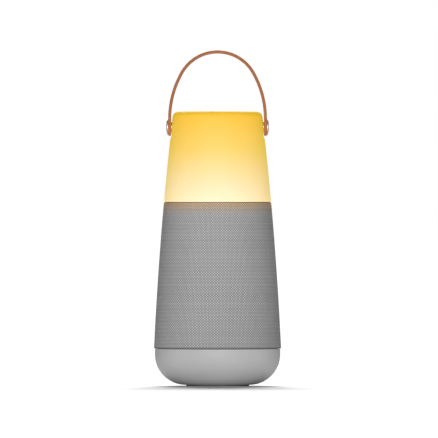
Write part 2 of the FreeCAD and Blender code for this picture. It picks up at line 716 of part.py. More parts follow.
def upper_deflector():
    """A flared horn, point down, that spreads the driver's sound to all sides."""
    return turned((0, 113.0), (1.6, 113.4), ((11.0, 126.0), (31.0, 135.4)), (31.0, TRAY_FLOOR), (0, TRAY_FLOOR))


def upper_pillars():
    pillars = []
    for x, y in UPPER_PILLAR_PLACES:
        post = cylinder(2.8, LID_TOP, TRAY_FLOOR, x, y)
        post = post.cut(cylinder(SCREW_RADIUS + SCREW_GAP, TRAY_FLOOR - 7, TRAY_FLOOR + 1, x, y))
        pillars.append(post)
    return group(pillars)


# --- chassis and electronics --------------------------------------------------------------------------------
CHASSIS_TOP = 28.9
DEFLECTOR_Z = 42.0
BOARD_Z, BOARD_THICKNESS = 32.0, 1.6
BOARD_POST_PLACES = on_circle(33.0, 4, 45.0)


def chassis_plate():
    plate = cylinder(46.6, BOSS_TOP, CHASSIS_TOP)
    ring = tube(46.3, 44.6, CHASSIS_TOP - 0.5, 34.0)
    ledge = tube(47.3, 44.6, RIM, FRAME_BOTTOM)
    plate = plate.fuse(ring).fuse(ledge).cut(cylinder(9.0, BOSS_TOP - 1, CHASSIS_TOP + 1))
    for x, y in LOWER_PILLAR_PLACES:
        plate = plate.cut(cylinder(SCREW_RADIUS + SCREW_GAP, BOSS_TOP - 1, CHASSIS_TOP + 1, x, y))
    for y in (-BOWL_SCREW_Y, BOWL_SCREW_Y):
        plate = plate.cut(cylinder(SCREW_RADIUS + SCREW_GAP, BOSS_TOP - 1, CHASSIS_TOP + 1, 0, y))
    return plate


def bowl_screws():
    return group(screw(0, y, 4.0, 24.0, True) for y in (-BOWL_SCREW_Y, BOWL_SCREW_Y))


def lower_pillars():
    pillars = []
    for x, y in LOWER_PILLAR_PLACES:
        post = cylinder(2.8, CHASSIS_TOP, TUB_BOTTOM, x, y)
        post = post.cut(cylinder(SCREW_RADIUS + SCREW_GAP, TUB_BOTTOM - 8, TUB_BOTTOM + 1, x, y))
        pillars.append(post)
    return group(pillars)


def pillar_screws():
    return group(screw(x, y, TUB_BOTTOM + 2.4, 8.0, False) for x, y in LOWER_PILLAR_PLACES)


def main_board():
    board = cylinder(37.2, BOARD_Z, BOARD_Z + BOARD_THICKNESS)
    for x, y in BOARD_POST_PLACES:
        board = board.cut(cylinder(1.6, BOARD_Z - 1, BOARD_Z + 3, x, y))
    return board


def main_board_posts():
    """Stepped posts that hold the board off the chassis and carry the lower deflector."""
    posts = []
    for x, y in BOARD_POST_PLACES:
        low = cylinder(3.0, CHASSIS_TOP, BOARD_Z, x, y)
        waist = cylinder(1.5, BOARD_Z - 0.5, BOARD_Z + BOARD_THICKNESS + 0.5, x, y)
        posts.append(low.fuse(waist).fuse(cylinder(3.0, BOARD_Z + BOARD_THICKNESS, DEFLECTOR_Z, x, y)))
    return group(posts)


def main_board_chips():
    """Radio module, amplifier, processor, power coil, capacitors and wire headers."""
    top = BOARD_Z + BOARD_THICKNESS
    boxes = [
        (16.0, 12.0, 2.4, -14.0, 14.0),
        (7.0, 7.0, 1.0, 4.0, 12.0),
        (9.0, 9.0, 1.2, 14.0, -2.0),
        (7.0, 7.0, 4.0, -16.0, -8.0),
        (8.0, 4.0, 3.4, 0.0, -24.0),
        (4.0, 8.0, 3.4, 24.0, 8.0),
        (4.0, 8.0, 3.4, -25.0, -1.0),
    ]
    parts = [block(w, d, top, top + h, x, y) for w, d, h, x, y in boxes]
    parts += [cylinder(3.2, top, top + 6.5, x, y) for x, y in ((14.0, -16.0), (6.0, -14.0), (22.0, -10.0))]
    return group(parts)


def lower_deflector():
    """A domed cover over the electronics that turns the radiator's sound outwards."""
    return turned(
        (0, DEFLECTOR_Z),
        (37.4, DEFLECTOR_Z),
        (37.4, DEFLECTOR_Z + 1.4),
        ((14.0, 45.6), (0.5, 47.0)),
        (0, 47.0),
    )


CELL_RADIUS, CELL_LENGTH, CELL_Z = 9.2, 65.0, 15.6
CELL_PITCH = 19.2


def battery_cells():
    cells = []
    for y in (-CELL_PITCH / 2, CELL_PITCH / 2):
        can = rod(CELL_RADIUS, V(-CELL_LENGTH / 2, y, CELL_Z), V(CELL_LENGTH / 2 - 0.8, y, CELL_Z))
        button = rod(2.8, V(CELL_LENGTH / 2 - 1, y, CELL_Z), V(CELL_LENGTH / 2, y, CELL_Z))
        cells.append(can.fuse(button))
    return group(cells)


def battery_tray():
    tray = block(40, 28, BOWL_FLOOR + BOWL_WALL, 6.4).fuse(block(50, 36, 6.2, 12.5))
    for y in (-CELL_PITCH / 2, CELL_PITCH / 2):
        tray = tray.cut(rod(CELL_RADIUS + 0.1, V(-40, y, CELL_Z), V(40, y, CELL_Z)))
    return tray


def battery_clamp():
    """Two straps across the cells, moulded in one with a spine between them."""
    clamp = block(40, 5.0, 21.6, BOSS_TOP)
    for x in (-15.0, 15.0):
        clamp = clamp.fuse(block(7.0, 34.0, 21.6, BOSS_TOP, x))
    for y in (-CELL_PITCH / 2, CELL_PITCH / 2):
        clamp = clamp.cut(rod(CELL_RADIUS + 0.1, V(-40, y, CELL_Z), V(40, y, CELL_Z)))
    return clamp


KEY_BOARD_Y, KEY_MAT_Y = 36.0, 37.6
KEY_BACK = 40.5


def button_board():
    return block(47.0, 1.6, 15.6, 25.6, 0, KEY_BOARD_Y + 0.8)


def button_mat():
    """A silicone sheet with one dome behind each key."""
    mat = block(38.0, 1.0, 16.2, 24.8, 0, KEY_MAT_Y + 0.5)
    rise = KEY_BACK - KEY_REST_GAP - KEY_MAT_Y - 0.9
    domes = [Part.makeCone(2.8, 1.8, rise, V(x, KEY_MAT_Y + 0.9, KEY_Z), Y_AXIS) for x in key_places()]
    return mat.fuse(domes)


def key(x):
    """A round key whose face follows the bowl, with a flange behind the wall that holds it in."""
    flange_radius = KEY_RADIUS + 0.5
    wall = bowl_radius(KEY_Z - flange_radius, BOWL_WALL)
    flange_front = math.sqrt(wall * wall - (abs(x) + flange_radius) ** 2) - 0.3
    stem = rod(KEY_RADIUS, V(x, KEY_BACK, KEY_Z), V(x, 55, KEY_Z)).common(bowl_body(-KEY_STANDS_PROUD))
    flange = rod(flange_radius, V(x, flange_front - 0.9, KEY_Z), V(x, flange_front, KEY_Z))
    return stem.fuse(flange)


def status_light_pipe():
    pipe = rod(1.0, V(INDICATOR_X, KEY_BOARD_Y + 1.7, KEY_Z), V(INDICATOR_X, 55, KEY_Z))
    return pipe.common(bowl_body(0.0))


SOCKET_FRONT, SOCKET_BACK = 40.9, 33.6


def usb_socket():
    outer = stadium(SOCKET_WIDTH, SOCKET_HEIGHT, SOCKET_BACK, SOCKET_FRONT, PORT_Z)
    return outer.cut(stadium(SOCKET_WIDTH - 0.6, SOCKET_HEIGHT - 0.6, SOCKET_BACK + 1.0, SOCKET_FRONT + 1, PORT_Z))


def usb_tongue():
    return block(6.6, 5.6, PORT_Z - 0.35, PORT_Z + 0.35, 0, SOCKET_BACK + 1.0 + 2.8)


def usb_board():
    return block(15.0, 11.2, USB_BOARD_BOTTOM, PORT_Z - SOCKET_HEIGHT / 2, 0, 31.8)


# --- wires --------------------------------------------------------------------------------------------------
def lamp_leads():
    """A pair of wires from the main board, up past the enclosure, to the underside of the light board."""
    top = BOARD_Z + BOARD_THICKNESS
    route = [(34.0, top), (34.0, 38.2), (40.2, 41.8), (40.2, 109.0), (34.0, 115.0), (34.0, 141.75), (30.4, 141.75)]
    route.append((30.4, LIGHT_BOARD_Z))
    return group(lead(LAMP_LEAD_DEG, side * LEAD_SPREAD, route, LEAD_RADIUS, LEAD_BEND) for side in (-1, 1))


def speaker_leads():
    """A pair of wires from the main board, through the tub's wall, to the driver."""
    top = BOARD_Z + BOARD_THICKNESS
    route = [(34.0, top), (34.0, 38.2), (40.2, 41.8), (40.2, LEAD_ENTRY_Z), (28.0, LEAD_ENTRY_Z), (28.0, 98.0)]
    route.append((22.0, 98.0))
    return group(lead(SPEAKER_LEAD_DEG, side * LEAD_SPREAD, route, LEAD_RADIUS, LEAD_BEND) for side in (-1, 1))


# --- every sub-part, by node name ---------------------------------------------------------------------------
KEY_NAMES = ("volume_up_button", "volume_down_button", "light_button", "power_button")

SUBPARTS = {
    "lamp_shade": lamp_shade,
    "fabric_sleeve": fabric_sleeve,
    "base_bowl": base_bowl,
    "foot_pad": foot_pad,
    "carry_strap": carry_strap,
    "strap_posts": strap_posts,
    "strap_washers": strap_washers,
    "strap_backing_washers": strap_backing_washers,
    "strap_post_screws": strap_post_screws,
    "lamp_tray": lamp_tray,
    "shade_gasket": shade_gasket,
    "lamp_tray_screws": lamp_tray_screws,
    "heat_spreader": heat_spreader,
    "led_board": led_board,
    "led_packages": led_packages,
    "reflector_ring": reflector_ring,
    "grille_frame": grille_frame,
    "enclosure_tub": enclosure_tub,
    "enclosure_lid": enclosure_lid,
    "enclosure_lid_screws": enclosure_lid_screws,
    "driver_basket": driver_basket,
    "driver_top_plate": driver_top_plate,
    "driver_magnet": driver_magnet,
    "driver_yoke": driver_yoke,
    "driver_voice_coil": driver_voice_coil,
    "driver_cone": driver_cone,
    "driver_dust_cap": driver_dust_cap,
    "driver_surround": driver_surround,
    "driver_spider": driver_spider,
    "driver_screws": driver_screws,
    "radiator_frame": radiator_frame,
    "radiator_surround": radiator_surround,
    "radiator_plate": radiator_plate,
    "radiator_weight": radiator_weight,
    "radiator_screws": radiator_screws,
    "upper_deflector": upper_deflector,
    "upper_pillars": upper_pillars,
    "lower_deflector": lower_deflector,
    "lower_pillars": lower_pillars,
    "pillar_screws": pillar_screws,
    "chassis_plate": chassis_plate,
    "bowl_screws": bowl_screws,
    "main_board": main_board,
    "main_board_posts": main_board_posts,
    "main_board_chips": main_board_chips,
    "battery_cells": battery_cells,
    "battery_tray": battery_tray,
    "battery_clamp": battery_clamp,
    "button_board": button_board,
    "button_mat": button_mat,
    "status_light_pipe": status_light_pipe,
    "usb_socket": usb_socket,
    "usb_tongue": usb_tongue,
    "usb_board": usb_board,
    "lamp_leads": lamp_leads,
    "speaker_leads": speaker_leads,
}


def build():
    """Every sub-part as {node name: shape}."""
    shapes = {name: make() for name, make in SUBPARTS.items()}
    shapes.update({name: key(x) for name, x in zip(KEY_NAMES, key_places())})
    return shapes


def main():
    os.makedirs("parts", exist_ok=True)
    for name, shape in build().items():
        if not shape.isValid() or not shape.Solids:
            print("PROBLEM", name, "valid", shape.isValid(), "solids", len(shape.Solids))
        shape.exportStep(f"parts/{name}.step")


if __name__ == "__main__":
    main()
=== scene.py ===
"""Looks of the portable lantern speaker: cloth, leather, lit shade, satin base and rear keys."""

import json
import math

import bpy
from mathutils import Matrix, Vector


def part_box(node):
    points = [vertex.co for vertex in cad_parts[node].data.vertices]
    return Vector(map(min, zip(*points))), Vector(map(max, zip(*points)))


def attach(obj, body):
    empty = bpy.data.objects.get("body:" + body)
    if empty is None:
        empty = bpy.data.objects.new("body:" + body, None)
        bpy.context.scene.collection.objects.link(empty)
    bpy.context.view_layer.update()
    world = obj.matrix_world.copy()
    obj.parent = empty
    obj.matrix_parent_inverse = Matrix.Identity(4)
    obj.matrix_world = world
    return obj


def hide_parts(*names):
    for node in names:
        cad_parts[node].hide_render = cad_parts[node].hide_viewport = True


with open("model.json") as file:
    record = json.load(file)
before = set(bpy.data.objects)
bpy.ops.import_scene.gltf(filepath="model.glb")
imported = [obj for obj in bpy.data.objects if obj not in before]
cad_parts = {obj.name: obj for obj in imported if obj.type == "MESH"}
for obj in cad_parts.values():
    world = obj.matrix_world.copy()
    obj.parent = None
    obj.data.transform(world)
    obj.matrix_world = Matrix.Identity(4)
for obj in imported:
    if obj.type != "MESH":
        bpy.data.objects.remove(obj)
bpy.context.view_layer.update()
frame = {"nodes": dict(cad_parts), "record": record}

bl_info = {
    "name": "Lantern speaker",
    "version": (1, 0, 0),
    "blender": (4, 5, 0),
    "location": "View3D > Sidebar > Speaker",
    "description": "Dresses the speaker's frame in cloth, leather, plastic and light",
    "category": "Object",
}

MM = 0.001
MERGE_DISTANCE = 0.01 * MM  # points closer than this become one
SLEEVE_LOW, SLEEVE_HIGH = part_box("fabric_sleeve")
STRAP_LOW, STRAP_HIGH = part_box("carry_strap")
POSTS_LOW, POSTS_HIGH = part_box("strap_posts")
PIVOT_HEIGHT = (POSTS_LOW[2] + POSTS_HIGH[2]) / 2
SHADE_LOW, SHADE_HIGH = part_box("lamp_shade")

# the long curve that the cloth and the shade share: radius at both ends and how far it swells between
FLANK_LOW, FLANK_HIGH = 29.2 * MM, 215.8 * MM
FLANK_LOW_RADIUS, FLANK_HIGH_RADIUS, FLANK_SWELL = 50.0 * MM, 34.8 * MM, 1.65 * MM

# the bowl's rounded side: radius, and the height and distance from the axis of the arc's centre
BOWL_CORNER_RADIUS, BOWL_CORNER_HEIGHT, BOWL_CORNER_REACH = 24.0 * MM, 24.95 * MM, 25.25 * MM

KEY_STANDS_PROUD = 0.55 * MM  # of the bowl
KEYS = {  # node of each key: its body and its sign
    "volume_up_button": ("volume_up_key", "plus"),
    "volume_down_button": ("volume_down_key", "minus"),
    "light_button": ("light_key", "lamp"),
    "power_button": ("power_key", "power"),
}


def flank(height):
    """Radius of the body's long curve at a height."""
    rise, taper = FLANK_HIGH - FLANK_LOW, FLANK_LOW_RADIUS - FLANK_HIGH_RADIUS
    chord = math.hypot(rise, taper)
    radius = (chord * chord / 4 + FLANK_SWELL * FLANK_SWELL) / (2 * FLANK_SWELL)
    depth = radius - FLANK_SWELL
    centre_r = (FLANK_LOW_RADIUS + FLANK_HIGH_RADIUS) / 2 - depth * rise / chord
    centre_z = (FLANK_LOW + FLANK_HIGH) / 2 - depth * taper / chord
    return centre_r + math.sqrt(radius * radius - (height - centre_z) ** 2)


# --- sizes and colours that a user would change ---------------------------------------------------
def length_property(name, description, default):
    return bpy.props.FloatProperty(
        name=name, description=description, default=default, unit="LENGTH", precision=5
    )


def colour_property(name, description, default):
    return bpy.props.FloatVectorProperty(
        name=name, description=description, default=default, subtype="COLOR", min=0.0, max=1.0
    )


class SpeakerSizes(bpy.types.PropertyGroup):
    """Sizes of the soft and fine pieces."""

    yarns_around: bpy.props.IntProperty(
        name="Yarns around", description="Yarns round the sleeve", default=274
    )
    yarn_pitch: length_property("Yarn pitch", "Height of one row of weave", 1.06 * MM)
    hem_roll: length_property("Hem roll", "Radius of the cloth's turned edge", 0.8 * MM)
    strap_width: length_property("Strap width", "Width of the leather", STRAP_HIGH[1] - STRAP_LOW[1])
    strap_thickness: length_property("Strap thickness", "Thickness of the leather", 2.3 * MM)
    strap_edge: length_property("Strap edge", "Rounding of the cut edge", 0.6 * MM)
    icon_height: length_property("Icon height", "How far a key's sign stands up", 0.12 * MM)
    camera_distance: length_property("Camera distance", "From the speaker to the camera", 10.0)


class SpeakerColours(bpy.types.PropertyGroup):
    """Colours of the finishes."""

    shade_top: colour_property("Shade top", "Light of the shade under its top edge", (0.47, 0.355, 0.001))
    shade_bottom: colour_property("Shade bottom", "Light of the shade at the cloth", (0.66, 0.450, 0.020))
    yarn_light: colour_property("Light yarn", "Upright yarns of the cloth", (0.330, 0.328, 0.327))
    yarn_dark: colour_property("Dark yarn", "Level yarns of the cloth", (0.150, 0.150, 0.152))
    leather: colour_property("Leather", "Strap", (0.262, 0.096, 0.036))
    base: colour_property("Base", "Bowl and keys", (0.280, 0.280, 0.282))
    rivet: colour_property("Rivet", "Caps at the strap's pivots", (0.420, 0.335, 0.275))


# --- shader maths ---------------------------------------------------------------------------------
class Value:
    """A shader socket. An expression on it adds the Math nodes that work it out."""

    def __init__(self, paint, socket):
        self.paint = paint
        self.socket = socket

    def maths(self, operation, *values):
        return self.paint.node("ShaderNodeMath", {"operation": operation}, dict(enumerate(values))).out(0)

    def __add__(self, other):
        return self.maths("ADD", self, other)

    __radd__ = __add__

    def __sub__(self, other):
        return self.maths("SUBTRACT", self, other)

    def __rsub__(self, other):
        return self.maths("SUBTRACT", other, self)

    def __mul__(self, other):
        return self.maths("MULTIPLY", self, other)

    __rmul__ = __mul__

    def __truediv__(self, other):
        return self.maths("DIVIDE", self, other)

    def __pow__(self, other):
        return self.maths("POWER", self, other)

    def __mod__(self, other):
        return self.maths("FLOORED_MODULO", self, other)

    def floor(self):
        return self.maths("FLOOR", self)

    def fraction(self):
        return self.maths("FRACT", self)

    def sine(self):
        return self.maths("SINE", self)

    def size(self):
        return self.maths("ABSOLUTE", self)

    def between(self, low, high):
        """0 below low, 1 above high, smooth between."""
        settings = {"interpolation_type": "SMOOTHSTEP"}
        sockets = {0: self, 1: low, 2: high, 3: 0.0, 4: 1.0}
        return self.paint.node("ShaderNodeMapRange", settings, sockets).out(0)


class Node:
    """A shader node and its outputs."""

    def __init__(self, paint, made):
        self.paint = paint
        self.made = made

    def out(self, name):
        return Value(self.paint, self.made.outputs[name])


class Paint:
    """One material: a Principled surface whose sockets take values or expressions."""

    def __init__(self, name, **constants):
        self.material = bpy.data.materials.new(name)
        self.material.use_nodes = True
        self.tree = self.material.node_tree
        self.tree.nodes.clear()
        self.surface = self.node("ShaderNodeBsdfPrincipled", {}, {}).made
        output = self.node("ShaderNodeOutputMaterial", {}, {}).made
        self.tree.links.new(self.surface.outputs[0], output.inputs[0])
        for socket, value in constants.items():
            self.surface.inputs[socket.replace("_", " ")].default_value = value

    def node(self, kind, settings, sockets):
        made = self.tree.nodes.new(kind)
        for name, value in settings.items():
            if name == "stops":
                self.ramp_stops(made.color_ramp, value)
            else:
                setattr(made, name, value)
        for socket, value in sockets.items():
            self.feed(made.inputs[socket], value)
        return Node(self, made)

    def ramp_stops(self, ramp, stops):
        while len(ramp.elements) < len(stops):
            ramp.elements.new(1.0)
        for element, (place, colour) in zip(ramp.elements, stops):
            element.position = place
            element.color = (*colour, 1.0)

    def feed(self, socket, value):
        if isinstance(value, Value):
            self.tree.links.new(value.socket, socket)
        elif isinstance(value, (tuple, list)) and socket.type == "RGBA" and len(value) == 3:
            socket.default_value = (*value, 1.0)
        else:
            socket.default_value = value

    def set(self, **sockets):
        for socket, value in sockets.items():
            self.feed(self.surface.inputs[socket.replace("_", " ")], value)
        return self

    def place(self):
        """Object coordinates, in metres."""
        return self.node("ShaderNodeTexCoord", {}, {}).out("Object")

    def parts(self, vector):
        split = self.node("ShaderNodeSeparateXYZ", {}, {0: vector})
        return split.out(0), split.out(1), split.out(2)

    def stretched(self, vector, x, y, z):
        return self.node("ShaderNodeMapping", {}, {"Vector": vector, "Scale": (x, y, z)}).out(0)

    def noise(self, vector, scale, detail=3.0, roughness=0.5):
        sockets = {"Vector": vector, "Scale": scale, "Detail": detail, "Roughness": roughness}
        return self.node("ShaderNodeTexNoise", {}, sockets).out(0)

    def cells(self, vector, scale):
        return self.node("ShaderNodeTexVoronoi", {}, {"Vector": vector, "Scale": scale}).out(0)

    def mix(self, share, low, high, blend="MIX"):
        """Colours low to high by share."""
        settings = {"data_type": "RGBA", "blend_type": blend}
        return self.node("ShaderNodeMix", settings, {0: share, 6: low, 7: high}).out(2)

    def ramp(self, value, stops):
        return self.node("ShaderNodeValToRGB", {"stops": stops}, {0: value}).out(0)

    def bump(self, height, depth, strength=1.0):
        sockets = {"Strength": strength, "Distance": depth, "Height": height}
        return self.set(Normal=self.node("ShaderNodeBump", {}, sockets).out(0))


PAINTS = {}  # finish of each material slot, made by the Finishes operator


def shaded(colour, factor):
    return tuple(min(1.0, channel * factor) for channel in colour)


# --- finishes -------------------------------------------------------------------------------------
SHADE_MOUTH, SHADE_MIDDLE = 0.14, 0.57  # shares of the shade's height where its light changes


def lit_acrylic(colours):
    """Translucent shade, lit from inside: pale at the cloth, deep yellow under the top."""
    paint = Paint("lit_acrylic", Roughness=0.62, Specular_IOR_Level=0.08, Emission_Strength=1.0)
    place = paint.place()
    height = paint.parts(place)[2]
    rise = (height - SHADE_LOW[2]) / (SHADE_HIGH[2] - SHADE_LOW[2])
    cloudy = (paint.noise(place, 70.0, 2.0) - 0.5) * 0.05
    low, high = tuple(colours.shade_bottom), tuple(colours.shade_top)
    glow = [
        (0.0, low),
        (SHADE_MOUTH, (0.62, 0.415, 0.002)),
        (SHADE_MIDDLE, (0.54, 0.400, 0.001)),
        (1.0, high),
    ]
    # base colour: grey translucent plastic at the mouth, turning orange towards the top as painted lamp
    # light
    skin = [
        (0.0, (0.26, 0.27, 0.32)),
        (SHADE_MOUTH, (0.25, 0.25, 0.28)),
        (SHADE_MIDDLE, (0.27, 0.160, 0.090)),
        (1.0, (0.33, 0.125, 0.024)),
    ]
    paint.set(Emission_Color=paint.ramp(rise + cloudy, glow), Base_Color=paint.ramp(rise + cloudy, skin))
    return paint.bump(paint.noise(place, 900.0, 2.0), 0.02 * MM, 0.4).material


LAMP_SPILL_START, LAMP_SPILL_FULL = 132.0 * MM, 144.4 * MM  # heights of the lamp's warm light, painted on the cloth
RIM_SHADE_FULL, RIM_SHADE_END = 29.6 * MM, 31.4 * MM  # heights of the painted shade line on the cloth above the bowl


def woven_cloth(colours):
    """Plain weave of thick two-tone yarns on the piece's own UV map, one square for each crossing."""
    paint = Paint("woven_cloth", Roughness=0.9, Specular_IOR_Level=0.06)
    uv = paint.node("ShaderNodeUVMap", {"uv_map": "weave"}, {}).out(0)
    across, up, _ = paint.parts(uv)
    place = paint.place()
    height = paint.parts(place)[2]
    wander = (paint.noise(place, 160.0, 2.0) - 0.5) * 0.5
    u, v = across + wander, up + wander
    column, row = u.floor(), v.floor()
    upright_on_top = (column + row) % 2.0
    over_u, over_v = (u.fraction() * math.pi).sine(), (v.fraction() * math.pi).sine()
    upright = (over_u**0.6) * (0.45 + 0.55 * over_v)
    level = (over_v**0.6) * (0.45 + 0.55 * over_u)
    crown = upright * upright_on_top + level * (1.0 - upright_on_top)
    one_yarn = {0: column * upright_on_top, 1: row * (1.0 - upright_on_top)}
    seed = paint.node("ShaderNodeCombineXYZ", {}, one_yarn).out(0)
    heather = paint.node("ShaderNodeTexWhiteNoise", {"noise_dimensions": "2D"}, {"Vector": seed}).out(0)
    fibres = paint.noise(paint.stretched(uv, 9.0, 9.0, 1.0), 1.0, 3.0, 0.7)
    light, dark = tuple(colours.yarn_light), tuple(colours.yarn_dark)
    yarn = paint.mix(upright_on_top, dark, light)
    yarn = paint.mix(0.14 * heather + 0.30 * (fibres - 0.3), yarn, shaded(light, 1.35))
    # painted shade: the yarn darkens into the gaps between crossings where its crown falls away
    yarn = paint.mix(1.0 - crown.between(0.05, 0.70), yarn, shaded(dark, 0.22))
    patchy = paint.noise(place, 22.0, 2.0).between(0.2, 0.8)
    yarn = paint.mix(patchy * 0.10, yarn, shaded(dark, 0.8))
    # painted light: the lamp's warm glow is multiplied into the cloth's colour near the shade
    lamp_light = height.between(LAMP_SPILL_START, LAMP_SPILL_FULL)
    warm = paint.mix(lamp_light**1.6, (1.0, 1.0, 1.0), (1.36, 0.97, 0.60))
    clear_of_rim_shade = height.between(RIM_SHADE_FULL, RIM_SHADE_END)
    colour = paint.mix(1.0, yarn, warm, "MULTIPLY")
    # painted shade: the cloth darkens in a band just above the bowl
    colour = paint.mix(1.0 - clear_of_rim_shade, colour, shaded(dark, 0.7))
    paint.set(Base_Color=colour)
    return paint.bump(crown + 0.25 * fibres, 0.32 * MM, 0.85).material


# distances from the strap's middle: its creased line, half the line's width, and where the cut edge starts
CREASE_AT, CREASE_HALF_WIDTH = 5.55 * MM, 0.30 * MM
CUT_EDGE_START, CUT_EDGE_FULL = 6.30 * MM, 6.85 * MM
STRAP_GLOW_FULL, STRAP_GLOW_END = 200.0 * MM, 226.0 * MM  # heights of the lamp's light, painted on the strap


def oiled_leather(colours):
    """Tan leather: pebbled faces, a creased line near each edge, smooth darker cut edges in two plies."""
    paint = Paint("oiled_leather", Specular_IOR_Level=0.08)
    uv = paint.node("ShaderNodeUVMap", {"uv_map": "strap"}, {}).out(0)
    out = paint.parts(uv)[1].size()
    ply = paint.node("ShaderNodeAttribute", {"attribute_name": "ply"}, {}).out("Fac")
    place = paint.place()
    height = paint.parts(place)[2]
    cut_edge = out.between(CUT_EDGE_START, CUT_EDGE_FULL)
    grain = paint.cells(place, 900.0)
    pores = paint.noise(place, 2600.0, 2.0)
    pull_up = paint.noise(place, 55.0, 4.0, 0.6)
    streaks = paint.noise(paint.stretched(uv, 60.0, 900.0, 1.0), 1.0, 3.0, 0.6)
    leather = tuple(colours.leather)
    colour = paint.mix(pull_up.between(0.30, 0.75), shaded(leather, 0.80), shaded(leather, 1.22))
    colour = paint.mix(streaks.between(0.45, 0.80) * 0.30, colour, shaded(leather, 0.62))
    edge_colour = paint.mix(ply.size().between(0.00, 0.10), shaded(leather, 0.60), shaded(leather, 0.80))
    edge_colour = paint.mix(streaks.between(0.35, 0.75) * 0.3, edge_colour, shaded(leather, 0.62))
    colour = paint.mix(cut_edge, colour, edge_colour)
    crease = 1.0 - ((out - CREASE_AT).size() / CREASE_HALF_WIDTH).between(0.0, 1.0)
    colour = paint.mix(crease * 0.45 * (1.0 - cut_edge), colour, shaded(leather, 0.45))
    # painted light: the strap turns warmer towards the lamp
    painted_lamp_glow = 1.0 - height.between(STRAP_GLOW_FULL, STRAP_GLOW_END)
    colour = paint.mix(painted_lamp_glow * 0.35, colour, (0.300, 0.115, 0.030))
    paint.set(Base_Color=colour, Roughness=0.58 + 0.18 * grain - 0.06 * cut_edge)
    surface = grain * (1.0 - cut_edge) + pores * 0.25 - crease * 1.6
    return paint.bump(surface, 0.10 * MM, 0.7).material


def satin_plastic(name, colour, roughness=0.40, grain=0.5):
    """Moulded plastic with a fine spark-eroded skin and faint flow marks."""
    paint = Paint(name, Specular_IOR_Level=0.10)
    place = paint.place()
    flow = paint.noise(place, 24.0, 3.0)
    speck = paint.noise(place, 2400.0, 2.0)
    tone = paint.mix(flow.between(0.25, 0.75), shaded(colour, 0.965), shaded(colour, 1.03))
    tone = paint.mix(speck.between(0.55, 0.80) * 0.10, tone, shaded(colour, 0.80))
    paint.set(Base_Color=tone, Roughness=roughness - 0.05 + 0.10 * flow)
    return paint.bump(speck + 0.4 * paint.cells(place, 1500.0), 0.02 * MM, grain).material


def turned_metal(name, colour, roughness=0.32, along=(1.0, 1.0, 1.0), metallic=1.0):
    """Metal with fine tool marks, drawn out along the axes with a low scale, and a little tarnish."""
    paint = Paint(name, Metallic=metallic)
    place = paint.place()
    marks = paint.noise(paint.stretched(place, *along), 1800.0, 2.0)
    tarnish = paint.noise(place, 260.0, 4.0, 0.6).between(0.45, 0.80)
    paint.set(
        Base_Color=paint.mix(tarnish * 0.35, colour, shaded(colour, 0.60)),
        Roughness=roughness + 0.16 * marks + 0.12 * tarnish,
    )
    return paint.bump(marks, 0.012 * MM, 0.5).material


def ripple(value, pitch):
    """A wave from -1 to 1 that repeats at a pitch."""
    return (value * (2 * math.pi / pitch)).sine()


def matte_rubber(name, colour):
    """Moulded rubber with fine rings round the middle and a dusty bloom."""
    paint = Paint(name, Specular_IOR_Level=0.3)
    place = paint.place()
    x, y, _ = paint.parts(place)
    ring = ripple((x * x + y * y) ** 0.5, 0.9 * MM)
    bloom = paint.noise(place, 90.0, 4.0, 0.6)
    paint.set(
        Base_Color=paint.mix(bloom.between(0.35, 0.80) * 0.5, colour, shaded(colour, 1.7)),
        Roughness=0.72 + 0.15 * bloom,
    )
    return paint.bump(ring * 0.5 + paint.noise(place, 2000.0, 2.0), 0.05 * MM, 0.5).material


def circuit_board(name, colour):
    """Solder mask over a maze of copper tracks."""
    paint = Paint(name, Roughness=0.35)
    place = paint.place()
    black, white = (0, 0, 0), (1, 1, 1)
    sockets = {"Vector": place, "Scale": 260.0, "Mortar Size": 0.035}
    sockets |= {"Color1": black, "Color2": black, "Mortar": white}
    tracks = paint.node("ShaderNodeTexBrick", {"offset": 0.37, "squash": 0.8}, sockets).out(0)
    dots = 1.0 - paint.cells(place, 320.0).between(0.10, 0.16)
    share = paint.mix(dots, tracks, white)
    value = paint.node("ShaderNodeRGBToBW", {}, {0: share}).out(0)
    paint.set(Base_Color=paint.mix(value, colour, shaded(colour, 1.9)))
    return paint.bump(value, 0.03 * MM, 0.6).material


def wound_wire(name, colour):
    """Rows of fine lacquered wire."""
    paint = Paint(name, Metallic=0.9)
    place = paint.place()
    rows = ripple(paint.parts(place)[2], 0.25 * MM) * 0.5 + 0.5
    # painted shade: the colour darkens in the grooves between rows of wire
    paint.set(Base_Color=paint.mix(rows, shaded(colour, 0.45), colour), Roughness=0.30 + 0.25 * rows)
    return paint.bump(rows, 0.06 * MM).material


def pressed_pulp(name, colour):
    """Paper cone: tangled fibres and shallow rings."""
    paint = Paint(name)
    place = paint.place()
    fibres = paint.noise(paint.stretched(place, 1.0, 0.25, 1.0), 900.0, 5.0, 0.75)
    rings = ripple(paint.parts(place)[2], 2.2 * MM)
    paint.set(
        Base_Color=paint.mix(fibres.between(0.35, 0.75), shaded(colour, 0.7), shaded(colour, 1.8)),
        Roughness=0.75 + 0.2 * fibres,
    )
    return paint.bump(fibres + 0.3 * rings, 0.08 * MM, 0.7).material


def shrink_wrap(name, colour):
    """Glossy film drawn tight, with faint wrinkles."""
    paint = Paint(name, Coat_Roughness=0.15)
    place = paint.place()
    wrinkles = paint.noise(paint.stretched(place, 0.15, 1.0, 1.0), 420.0, 4.0, 0.6)
    paint.set(
        Base_Color=paint.mix(wrinkles.between(0.40, 0.70) * 0.4, colour, shaded(colour, 1.5)),
        Roughness=0.22 + 0.12 * wrinkles,
    )
    return paint.bump(wrinkles, 0.05 * MM, 0.6).material


PHOSPHOR_START, PHOSPHOR_FULL = 145.60 * MM, 145.72 * MM  # heights on the lamp packages


